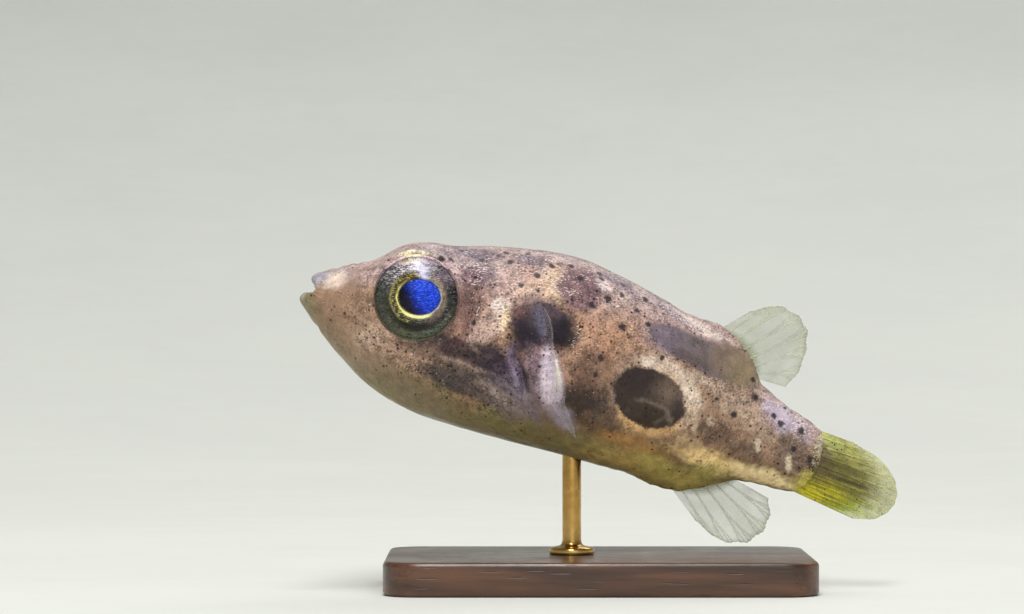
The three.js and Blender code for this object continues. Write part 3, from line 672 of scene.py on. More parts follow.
# Markings: colour, x, z, half length, half width, tilt (degrees above the axis), strength,
# softness of the edge, and how ragged the edge is.
WASHES = [
    ((146, 120, 100), 2.4, -0.4, 2.2, 2.2, -20, 0.75, 0.9, 0.1),
    ((146, 114, 90), 1.9, -0.5, 1.1, 0.9, -20, 0.5, 0.9, 0.2),
    ((160, 144, 150), 5.2, 3.95, 2.0, 0.7, 10, 0.75, 0.9, 0.1),
    ((178, 154, 152), 2.7, 1.85, 0.9, 0.5, 30, 0.6, 0.9, 0.2),
    ((186, 158, 138), 3.7, -0.65, 0.75, 0.62, 30, 0.8, 0.6, 0.3),
    ((172, 144, 122), 3.4, -1.3, 1.2, 0.7, -28, 0.7, 0.8, 0.2),
    ((174, 142, 122), 5.2, -0.95, 1.6, 0.7, -8, 0.65, 0.8, 0.2),
    ((124, 104, 84), 6.0, -2.3, 3.0, 0.9, -12, 0.6, 0.9, 0.15),
    ((204, 172, 180), 6.5, 3.25, 0.9, 0.5, 4, 0.8, 0.7, 0.25),
    ((122, 92, 90), 7.25, 2.1, 0.8, 1.8, 5, 0.88, 0.6, 0.2),
    ((182, 146, 140), 9.0, 3.5, 1.5, 1.5, 12, 0.7, 0.8, 0.2),
    ((214, 178, 154), 9.75, 3.75, 0.75, 0.5, 19, 0.65, 0.6, 0.3),
    ((214, 180, 148), 10.5, 4.15, 0.55, 1.0, 12, 0.75, 0.5, 0.2),
    ((186, 156, 146), 8.4, 1.45, 1.4, 0.62, 60, 0.92, 0.5, 0.25),
    ((230, 212, 206), 8.65, 2.5, 0.42, 0.4, 15, 0.75, 0.6, 0.3),
    ((230, 200, 158), 8.95, 1.95, 0.6, 0.3, 90, 0.8, 0.6, 0.25),
    ((180, 136, 110), 13.6, 2.4, 2.1, 1.7, -10, 0.7, 0.9, 0.2),
    ((140, 108, 84), 14.0, 0.6, 0.7, 1.2, 12, 0.6, 0.8, 0.3),
    ((112, 88, 64), 13.9, -1.2, 2.0, 0.55, 0, 0.7, 0.9, 0.2),
    ((146, 119, 98), 19.8, 1.1, 3.2, 1.5, -8, 0.85, 0.7, 0.25),
    ((184, 158, 140), 19.9, 1.85, 1.9, 0.6, -22, 0.8, 0.8, 0.25),
    ((172, 126, 74), 16.1, -1.35, 2.1, 0.5, -4, 0.85, 0.7, 0.3),
    ((196, 168, 100), 16.4, -2.15, 2.3, 0.65, 2, 0.85, 0.9, 0.3),
    ((184, 166, 92), 18.8, -2.2, 2.2, 0.6, 8, 0.85, 0.9, 0.3),
    ((246, 212, 148), 19.7, -0.96, 2.6, 0.44, -2, 0.97, 0.6, 0.3),
    ((252, 226, 172), 22.0, -0.92, 1.7, 0.42, 2, 0.97, 0.6, 0.3),
    # A lilac patch on top of the tail stalk: partly the skin's own colour and partly a painted
    # sheen.
    ((202, 186, 206), 22.2, 1.8, 1.3, 0.6, -18, 0.92, 0.6, 0.25),
    ((146, 136, 84), 24.4, 0.4, 0.55, 1.7, 0, 0.75, 0.7, 0.2),
]
BLOTCHES = [
    ((60, 45, 58), 10.66, 2.34, 1.38, 1.12, 12, 0.96, 0.2, 0.16),
    ((96, 62, 60), 9.5, 2.5, 0.42, 0.5, 19, 0.7, 0.6, 0.3),
    ((104, 78, 78), 10.0, 3.2, 0.6, 0.3, 10, 0.65, 0.7, 0.3),
    ((18, 6, 20), 11.62, 2.14, 0.78, 0.78, 19, 0.95, 0.5, 0.1),
    ((26, 14, 26), 10.1, 1.7, 0.82, 0.8, 19, 0.92, 0.5, 0.12),
    ((34, 24, 38), 10.75, 1.85, 0.8, 0.7, 0, 0.85, 0.6, 0.2),
    ((82, 76, 102), 10.5, 2.5, 0.9, 0.26, -62, 0.75, 0.6, 0.15),
    ((112, 84, 88), 11.2, 0.9, 0.9, 0.8, -10, 0.7, 0.6, 0.25),
    ((126, 95, 102), 11.78, 4.46, 1.08, 1.12, 16, 0.92, 0.22, 0.16),
    ((120, 102, 118), 13.4, 5.15, 1.2, 0.45, -22, 0.7, 0.6, 0.2),
    ((120, 100, 110), 10.2, 5.6, 1.2, 0.5, 5, 0.6, 0.7, 0.3),
    ((118, 98, 108), 5.6, 4.3, 0.8, 0.5, 20, 0.6, 0.7, 0.3),
    # A small white spot on the back: a painted glint.
    ((230, 212, 212), 12.62, 4.82, 0.4, 0.28, -10, 0.8, 0.6, 0.3),
    ((208, 184, 178), 13.65, 4.7, 0.6, 0.35, -30, 0.7, 0.6, 0.3),
    ((110, 82, 96), 7.3, 3.55, 0.9, 0.66, 19, 0.9, 0.45, 0.3),
    ((110, 96, 112), 6.9, 4.35, 1.3, 0.36, 10, 0.8, 0.6, 0.2),
    ((112, 96, 110), 9.2, 4.8, 0.9, 0.36, 12, 0.8, 0.6, 0.2),
    ((96, 76, 66), 6.2, -0.45, 1.35, 0.45, 4, 0.8, 0.7, 0.25),
    ((62, 48, 52), 8.6, -0.28, 0.8, 0.45, -15, 0.9, 0.6, 0.2),
    ((60, 44, 46), 7.15, 0.08, 1.75, 0.64, -6, 0.95, 0.5, 0.25),
    ((54, 40, 52), 9.8, 0.8, 0.6, 0.4, 60, 0.9, 0.6, 0.2),
    ((50, 36, 50), 9.45, -0.12, 1.3, 0.86, -32, 0.96, 0.35, 0.2),
    ((58, 44, 60), 9.95, -0.6, 0.95, 0.6, -50, 0.9, 0.5, 0.2),
    ((70, 60, 60), 7.6, -1.22, 1.5, 0.62, -3, 0.9, 0.42, 0.35),
    ((84, 72, 72), 9.2, -1.2, 1.1, 0.5, -20, 0.75, 0.6, 0.35),
    ((112, 98, 98), 10.2, -1.6, 1.2, 0.5, -22, 0.7, 0.6, 0.4),
    ((122, 108, 114), 10.95, -1.15, 1.4, 0.62, -30, 0.88, 0.7, 0.3),
    ((136, 114, 104), 8.1, -0.52, 1.5, 0.13, 2, 0.8, 0.7, 0.3),
    ((152, 134, 128), 9.95, -1.25, 1.25, 0.3, -24, 0.85, 0.8, 0.35),
    ((126, 104, 116), 11.05, 0.05, 1.5, 0.5, -60, 0.9, 0.5, 0.2),
    ((136, 120, 144), 10.24, -0.1, 1.2, 0.3, -58, 0.9, 0.9, 0.2),
    # A dark line along the gill slit: painted shade in the slit.
    ((52, 40, 54), 10.58, -0.02, 0.85, 0.2, -56, 0.85, 0.7, 0.15),
    ((46, 33, 31), 13.45, -0.2, 1.55, 0.98, 6, 0.93, 0.5, 0.2),
    ((84, 66, 52), 14.8, -0.8, 0.75, 0.5, 0, 0.85, 0.7, 0.3),
    ((44, 36, 40), 14.15, -0.3, 0.5, 0.4, 0, 0.7, 0.6, 0.3),
    ((100, 72, 60), 12.95, 0.9, 0.6, 0.75, 19, 0.75, 0.6, 0.3),
    ((104, 76, 62), 13.3, 1.3, 0.75, 1.0, 19, 0.85, 0.8, 0.3),
    ((216, 198, 216), 11.82, 0.16, 1.5, 0.5, -62, 0.97, 0.4, 0.1),
    ((232, 216, 230), 11.86, -0.4, 0.95, 0.42, -62, 0.8, 0.7, 0.1),
    # A thin bright line along the rear edge of the pectoral lobe: a painted highlight.
    ((252, 242, 226), 12.08, 0.3, 1.3, 0.12, -62, 0.95, 0.6, 0.1),
    ((156, 142, 156), 12.8, -1.3, 0.95, 0.42, -26, 0.88, 0.6, 0.2),
    ((150, 122, 100), 16.2, 0.88, 2.5, 2.0, 2, 0.6, 0.5, 0.2),
    ((214, 184, 158), 16.42, 1.02, 2.02, 1.58, 4, 0.92, 0.12, 0.1),
    ((206, 164, 114), 16.4, -0.04, 1.56, 0.86, 0, 0.9, 0.25, 0.1),
    ((84, 66, 58), 14.7, 0.5, 0.42, 0.8, 10, 0.8, 0.6, 0.2),
    ((224, 204, 186), 17.75, 1.6, 0.4, 1.0, 40, 0.85, 0.6, 0.3),
    ((214, 190, 174), 16.9, 2.35, 1.4, 0.3, -12, 0.75, 0.7, 0.3),
    ((132, 106, 92), 14.9, 1.9, 1.0, 0.6, 40, 0.75, 0.6, 0.2),
    # A pale band along the back above the saddle: partly pale skin and partly a painted highlight
    # along the ridge.
    ((216, 198, 192), 17.0, 4.52, 1.9, 0.26, -8, 0.9, 0.42, 0.2),
    ((150, 132, 144), 15.8, 4.75, 1.3, 0.26, -16, 0.8, 0.5, 0.2),
    ((118, 104, 112), 16.9, 3.44, 1.98, 0.66, -5, 0.95, 0.14, 0.05),
    ((114, 101, 102), 18.1, 3.32, 1.9, 0.78, -7, 0.95, 0.18, 0.05),
    ((130, 111, 99), 19.3, 3.36, 1.35, 0.9, -14, 0.95, 0.3, 0.08),
    ((126, 112, 126), 16.1, 3.52, 1.1, 0.6, 0, 0.75, 0.8, 0.1),
    ((98, 84, 84), 17.4, 2.98, 1.4, 0.28, -8, 0.7, 0.7, 0.1),
    ((150, 131, 103), 19.9, 3.3, 1.0, 0.9, -18, 0.8, 0.8, 0.1),
    ((204, 182, 162), 17.9, 2.35, 1.5, 0.18, -6, 0.8, 0.5, 0.3),
    ((206, 180, 160), 15.9, 2.45, 1.1, 0.25, 8, 0.55, 0.6, 0.3),
    ((104, 82, 70), 21.3, -0.08, 0.6, 0.4, 0, 0.6, 0.6, 0.3),
    ((196, 166, 126), 18.4, -0.5, 0.75, 0.36, 0, 0.65, 0.8, 0.3),
    ((94, 72, 58), 19.7, 0.2, 1.8, 0.5, -4, 0.8, 0.5, 0.45),
    ((174, 150, 130), 21.4, 1.05, 0.8, 0.38, -15, 0.6, 0.8, 0.3),
    ((112, 94, 82), 23.0, 0.55, 0.75, 1.0, 14, 0.85, 0.4, 0.3),
    ((72, 60, 40), 24.15, 0.15, 0.5, 0.6, 0, 0.9, 0.6, 0.4),
    ((204, 190, 96), 23.9, -0.7, 0.58, 0.48, 19, 0.85, 0.8, 0.3),
    ((232, 218, 188), 24.25, 1.4, 0.26, 0.5, 19, 0.8, 0.6, 0.3),
    ((222, 204, 176), 23.0, 0.0, 0.14, 0.42, 19, 0.85, 0.5, 0.3),
    ((222, 204, 176), 21.46, 0.35, 0.17, 0.34, 15, 0.85, 0.5, 0.3),
    ((204, 180, 154), 19.05, 0.72, 0.2, 0.2, 10, 0.7, 0.6, 0.4),
    ((200, 176, 150), 19.5, 1.5, 0.24, 0.24, 10, 0.6, 0.6, 0.4),
    ((198, 172, 146), 20.4, 1.42, 0.34, 0.1, -20, 0.6, 0.6, 0.4),
    ((200, 174, 148), 18.45, 0.35, 0.16, 0.5, 19, 0.6, 0.6, 0.4),
    ((170, 160, 164), 1.15, 1.35, 0.75, 0.42, 32, 0.75, 0.7, 0.15),
    ((228, 206, 190), 1.3, 1.15, 0.6, 0.42, 20, 0.88, 0.6, 0.3),
    ((160, 156, 168), 0.45, 1.02, 0.55, 0.46, 30, 0.88, 0.6, 0.1),
    ((134, 124, 94), 0.4, -0.1, 0.6, 0.5, -30, 0.8, 0.8, 0.1),
    ((178, 172, 156), 0.1, 0.02, 0.3, 0.2, 50, 0.7, 0.7, 0.1),
    ((232, 220, 190), 4.32, 3.4, 0.85, 0.2, 14, 0.85, 0.6, 0.35),
    ((228, 208, 192), 15.55, 2.3, 0.6, 0.32, -5, 0.8, 0.7, 0.3),
    ((190, 176, 100), 17.3, -1.9, 1.0, 0.42, -8, 0.6, 0.8, 0.2),
    ((194, 180, 104), 19.85, -1.36, 0.9, 0.36, 10, 0.6, 0.8, 0.2),
    ((198, 182, 88), 24.1, -0.25, 0.42, 0.34, 0, 0.8, 0.7, 0.3),
]
# The ringed dark patch of the flank, whose edge is sharp, and the marks that show inside it.
PATCH = ((56, 43, 38), 16.16, 0.75, 1.74, 1.26, -10, 1.0, 0.1, 0.05)
INSIDE = [
    ((48, 36, 38), 15.6, 1.35, 0.9, 0.6, 19, 0.7, 0.7, 0.1),
    ((112, 94, 82), 16.95, 1.36, 0.85, 0.75, 0, 0.9, 0.8, 0.15),
    ((46, 34, 32), 17.5, 0.72, 0.34, 0.5, 0, 0.7, 0.8, 0.15),
    ((136, 120, 104), 16.46, 0.12, 1.16, 0.6, -6, 0.6, 0.22, 0.12),
    ((56, 42, 32), 16.4, 0.04, 1.1, 0.56, -6, 0.95, 0.18, 0.12),
    ((104, 94, 84), 17.05, 0.2, 0.55, 0.07, 60, 0.6, 0.7, 0.4),
    ((104, 94, 84), 16.8, -0.05, 0.45, 0.06, 35, 0.6, 0.7, 0.4),
]
# Where glints and pigment cells crowd: as markings, but the first number stands for glints and
# the second for cells.
CROWDS = [
    ((222, 215, 0), 8.5, 1.7, 1.5, 0.9, 60, 0.95, 0.5, 0.2),
    ((215, 215, 0), 9.3, 3.2, 1.6, 1.2, 20, 0.8, 0.6, 0.2),
    ((225, 190, 0), 6.5, 3.4, 1.1, 0.6, 12, 0.9, 0.6, 0.2),
    ((225, 150, 0), 10.5, 4.2, 0.7, 1.0, 12, 0.9, 0.5, 0.2),
    ((190, 230, 0), 5.6, -1.0, 1.5, 0.7, -8, 0.9, 0.6, 0.2),
    ((200, 200, 0), 3.8, -0.7, 0.8, 0.6, 20, 0.9, 0.6, 0.2),
    ((130, 232, 0), 8.0, -1.3, 2.6, 0.8, -10, 0.9, 0.6, 0.2),
    ((70, 232, 0), 8.6, 0.2, 2.2, 1.0, -12, 0.8, 0.5, 0.2),
    ((90, 225, 0), 10.8, 2.3, 1.9, 1.5, 19, 0.9, 0.3, 0.2),
    ((0, 140, 0), 10.9, 2.1, 1.2, 0.8, 19, 0.9, 0.5, 0.2),
    ((190, 215, 0), 12.6, 2.1, 0.9, 1.1, 19, 0.8, 0.6, 0.2),
    ((225, 90, 0), 11.8, 0.3, 1.5, 0.5, -62, 0.9, 0.5, 0.1),
    ((235, 120, 0), 17.1, 4.5, 2.0, 0.35, -8, 0.95, 0.5, 0.1),
    ((180, 150, 0), 16.3, 1.0, 2.3, 1.8, 2, 0.7, 0.4, 0.1),
    ((0, 90, 0), 17.0, 3.5, 2.0, 0.7, -5, 0.95, 0.2, 0.1),
    ((0, 90, 0), 18.9, 3.4, 1.8, 0.9, -9, 0.95, 0.2, 0.1),
    ((165, 110, 0), 19.9, -0.98, 3.4, 0.5, -1, 0.95, 0.6, 0.1),
    ((215, 120, 0), 22.5, 1.9, 1.6, 0.6, -15, 0.9, 0.6, 0.1),
    ((235, 170, 0), 24.2, 0.8, 0.6, 1.2, 10, 0.9, 0.6, 0.1),
]
# Round dark dots: x, z and size against the usual radius.
DOTS = [
    (6.16, 4.20, 1.0), (7.18, 4.13, 1.0), (7.12, 3.35, 0.6), (8.09, 4.77, 1.0),
    (8.43, 4.48, 1.0), (8.98, 5.08, 1.0), (9.70, 4.28, 1.1), (9.13, 3.66, 1.0),
    (9.92, 3.70, 0.6), (10.21, 4.93, 1.0), (11.01, 5.21, 1.0), (11.60, 4.75, 1.2),
    (12.27, 5.26, 1.0), (12.43, 5.08, 1.0), (13.48, 5.16, 1.0), (13.50, 4.70, 1.0),
    (13.0, 4.35, 1.3), (12.44, 3.81, 1.1), (11.55, 3.79, 0.7), (14.63, 4.85, 1.1),
    (14.40, 4.30, 1.0), (13.95, 3.39, 1.2), (15.07, 3.86, 1.0), (13.53, 1.73, 1.1),
    (13.51, 0.97, 0.8), (16.10, 2.66, 0.8), (7.74, 1.39, 0.9), (8.18, 0.12, 1.1),
    (5.49, 3.62, 1.0), (5.87, 3.84, 1.0), (5.49, 3.36, 0.6), (20.32, 3.03, 0.9),
    (20.61, 2.32, 1.1), (19.97, 1.30, 1.0), (18.97, 1.71, 0.6), (21.68, 1.80, 1.0),
    (22.08, 1.60, 1.1), (23.09, 1.57, 1.2), (23.05, 0.71, 0.9), (23.89, 0.48, 1.1),
    (22.08, 2.31, 0.6),
]
DOT_RADIUS = 0.155


def on_flank(points, x, z):
    """The skin's point nearest to x, z as seen from the side, with y counted outwards."""
    near = np.argmin(np.hypot(points[:, 0] - x, points[:, 2] - z) - 0.02 * np.abs(points[:, 1]))
    return np.abs(points[near] * [0, 1, 0]) + points[near] * [1, 0, 1]


def oval(points, middle, long, wide, tilt, depth=0.55):
    """Distance from an oval's middle, counted in its half sizes, over the skin of one side.

    The gap to the middle is split into the part along the oval's axis and the rest, and gaps
    across the body count for depth of their length.
    """
    gap = (np.abs(points * [0, 1, 0]) + points * [1, 0, 1] - middle) * [1, depth, 1]
    along = gap[..., 0] * math.cos(tilt) + gap[..., 2] * math.sin(tilt)
    rest = np.sqrt(np.maximum(np.sum(gap * gap, -1) - along**2, 0))
    return np.hypot(along / long, rest / wide)


def both_flanks(points, make, seed):
    """Values of make(jitter) for the left flank and, moved a little, for the right one."""
    rng = np.random.default_rng(seed)
    right = smooth(points[..., 1], -0.5, 0.5)
    return make(np.zeros(4)) * (1 - right) + make(rng.uniform(-1, 1, 4)) * right


def away_from(points, mark, move):
    """Distance from a marking in its own half sizes, the marking moved and resized a little."""
    x, z, long, wide, tilt = mark[1:6]
    size = 1 + 0.09 * move[2]
    middle = on_flank(points.reshape(-1, 3), x + 0.22 * move[0], z + 0.12 * move[1])
    return oval(points, middle, long * size, wide * size, math.radians(tilt))


def painted(points, shown, marks, seed, together=False):
    """Lays marks over the colours shown, one after another.

    A mark covers its oval fully inside and fades over its soft edge, which noise pushes in
    and out. On the right flank each mark is moved a little, or all of them together.
    """
    for number, mark in enumerate(marks):
        strength, soft, ragged = mark[6:]
        rough = 0.8 * ragged * ripple(points, 0.9, seed + number) + 0.7 * ragged * (
            ripple(points, 0.24, seed + 500 + number, 8)
        )

        def cover(move):
            return 1 - smooth(away_from(points, mark, move) + rough, 1 - soft, 1 + 0.6 * soft)

        share = both_flanks(points, cover, seed + (0 if together else number))
        shown = mixed(shown, tone(*mark[0]), strength * share)
    return shown


def patch_field(points, seed):
    """How deep each point lies in the ringed patch: above 0.5 inside, below it outside."""
    away = both_flanks(points, lambda move: away_from(points, PATCH, move), seed)
    return 1 - (away + PATCH[8] * ripple(points, 0.8, seed + 500, 8)) / 2


def dot_field(points, dots, seed):
    """How deep each point lies in its nearest dot: 1 in the middle, 0.5 on the dot's edge."""
    flat = points.reshape(-1, 3)
    rng = np.random.default_rng(seed)
    right = points[..., 1] > 0
    depth = np.zeros(points.shape[:-1])
    for x, z, size in dots:
        radius = DOT_RADIUS * size
        for side, move in ((~right, np.zeros(2)), (right, rng.uniform(-0.45, 0.45, 2))):
            middle = on_flank(flat, x + move[0], z + move[1] * 0.6)
            away = oval(points, middle, radius, radius, 0, depth=1)
            depth = np.where(side, np.maximum(depth, 1 - away / 2), depth)
    return depth


def skin_paint(points, high, colours):
    """The skin's colours, and where its cells, glints, dots and ringed patch show.

    The ground runs from belly to flank to back by the height share high. ink holds the
    colours inside the ringed patch, which the material puts in where sharp passes 0.5.
    """
    x = points[..., 0]
    wander = 0.16 * ripple(points, 2.4, 31)
    shown = mixed(np.array(colours.belly), tone(130, 104, 76), smooth(high + wander, -0.8, -0.5))
    shown = mixed(shown, np.array(colours.flank), smooth(high + wander, -0.6, -0.15))
    shown = mixed(shown, np.array(colours.back), smooth(high + wander, 0.3, 0.8))
    shown = painted(points, shown, WASHES, 100)
    shown = painted(points, shown, BLOTCHES, 200)
    rgb, patch_x, patch_z, long, wide, tilt = PATCH[:6]
    ground = (rgb, patch_x, patch_z, 1.25 * long, 1.25 * wide, tilt, 1.0, 0.1, 0.0)
    ink = painted(points, painted(points, shown, [ground], 300, True), INSIDE, 300, True)
    uneven = (1 + 0.1 * ripple(points, 0.7, 41) + 0.07 * ripple(points, 0.28, 42))[..., None]
    # Besides its random variation, the ground is made up to 14% darker over the upper half of the
    # body behind the eye.
    uneven = uneven * (1 - 0.14 * smooth(high, 0.0, 0.6) * smooth(x, 5, 8))[..., None]

    upper = smooth(high, 0.1, 0.7) * smooth(x, 4, 7)
    above = smooth(high, -0.75, -0.25)
    glints = 0.05 + 0.2 * above + 0.24 * upper
    cells = 0.1 + 0.24 * above + 0.2 * smooth(high, 0.2, 0.8)
    cells = cells * (0.35 + 0.65 * smooth(x, 1.2, 3.5))
    crowd = painted(points, np.stack([glints, cells, 0 * x], -1), CROWDS, 600)
    glints = crowd[..., 0] + 0.16 * ripple(points, 1.2, 52)
    cells = crowd[..., 1] + 0.13 * ripple(points, 1.6, 51)
    return dict(
        paint=shown * uneven, ink=ink * uneven,
        cells=np.clip(cells, 0.03, 0.95), glints=np.clip(glints, 0, 0.92),
        dots=dot_field(points, DOTS, 71), sharp=patch_field(points, 300),
    )


def skin_material(colours):
    """Wet skin: paint under cells and glints, the ringed patch, dots and a thin clear coat."""
    made, tree, shader = new_material(
        "puffer skin", ior=1.34, subsurface_weight=0.05, subsurface_scale=0.00012,
        subsurface_radius=(1.0, 0.45, 0.28), coat_roughness=0.22, coat_ior=1.3,
    )
    place = own_place(tree)
    paint, ink = stored(tree, "paint", "Color"), stored(tree, "ink", "Color")
    amount = stored(tree, "cells")
    warmth = span(tree, noise(tree, place, 5200.0, 1.0), 0.45, 0.6)
    warm = blend(tree, warmth, colour(tone(252, 236, 232)), colour(tone(250, 230, 202)))
    cells = use(
        tree, "pigment cells", Base=paint, Light=blend(tree, 0.66, paint, warm),
        Dark=blend(tree, 1.0, paint, colour(tone(108, 78, 84)), "MULTIPLY"), Cells=6400.0,
        Amount=amount, Glints=stored(tree, "glints"),
        Mottle=span(tree, amount, 0.08, 0.45, 0.16, 0.52),
    )
    calm = use(
        tree, "pigment cells", Base=ink, Light=ink,
        Dark=blend(tree, 1.0, ink, colour(tone(150, 138, 140)), "MULTIPLY"),
        Cells=6400.0, Amount=0.3, Glints=0.0, Mottle=0.2,
    )
    frayed = span(tree, noise(tree, place, 9000.0), 0.2, 0.8, -1.0, 1.0)
    edge = maths(tree, "MULTIPLY_ADD", frayed, 0.02, stored(tree, "sharp"))
    shown = blend(tree, span(tree, edge, 0.462, 0.53), cells["Color"], calm["Color"])
    dot = maths(tree, "MULTIPLY_ADD", frayed, 0.12, stored(tree, "dots"))
    shown = blend(tree, span(tree, dot, 0.36, 0.72, 0.0, 0.92), shown, colour(colours.dots))
    film = use(tree, "patina", Scale=700.0, Low=0.42, High=0.62)
    pores = bump(tree, noise(tree, place, 4200.0, 4.0), 0.00005, 0.5)
    feed(
        tree, shader, base_color=shown, roughness=film["Value"],
        coat_weight=span(tree, film["Mask"], 0.0, 1.0, 0.3, 0.1),
        normal=bump(tree, cells["Height"], 0.000012, 0.5, Normal=pores),
    )
    return made


class PUFFER_OT_skin(bpy.types.Operator):
    """Build the fish's skin, lips to tail root, in one piece"""

    bl_idname = "puffer.skin"
    bl_label = "Skin"

    def execute(self, context):
        colours = context.scene.puffer_colours
        rings, around = SKIN_GRID
        even = np.arange(around) / around * 2 * math.pi
        turn = (even + 0.12 * np.sin(2 * even))[None, :]
        points, high = skin_base(ring_places(rings)[:, None], turn)
        paints = skin_paint(points, high, colours)
        lift = skin_relief(points, high) * context.scene.puffer_sizes.relief
        lift[[0, -1]] = 0
        raised = points + outward(points) * lift[..., None]
        raised[0], raised[-1] = points[0, 0], points[-1, 0]
        piece = lofted("skin", placed(raised), **paints)
        finished(
            piece, "skin", skin_material(colours),
            "head", "trunk", "tail_stalk", "lip_upper", "lip_lower",
        )
        return {"FINISHED"}


# ---- the eyes -----------------------------------------------------------------------------


def dome(reach):
    """How far the eyeball's front stands out at a distance from its axis: an ellipse."""
    share = np.clip(reach / EYE["radius"], 0, 1)
    return EYE["front"] * np.sqrt(1 - share**2)


def pupil_reach(u, v):
    """Distance from the pupil's middle in units of its half sizes: 1 on its edge."""
    return np.hypot((u - PUPIL["u"]) / PUPIL["wide"], (v - PUPIL["v"]) / PUPIL["tall"])


def iris_depth(u, v, lens):
    """How far the opaque front of the eye stands out of its widest circle.

    The iris is a shallow saucer, highest by the pupil, with a fine grain; the lens is a low
    dome in the pupil; and the limb meets the cornea's ellipse at its rim.
    """
    reach = np.hypot(u, v)
    into = pupil_reach(u, v)
    saucer = 0.53 - 0.3 * smooth(reach, 0.85, 1.8)
    grain = ripple(np.stack([0.5 * u, v, 0 * u], -1), 0.16, 305, 9)
    saucer += 0.012 * grain * smooth(into, 1.1, 1.3) * (1 - smooth(reach, 1.5, 1.7))
    saucer += 0.035 * bell((into - 1.1) / 0.07)
    bulge = 0.44 + lens * np.sqrt(np.clip(1 - into**2, 0, 1))
    inner = np.where(into < 1, bulge, saucer - 0.09 * bell((into - 1) / 0.05))
    return inner + (dome(reach) - inner) * smooth(reach, 1.72, 1.86)


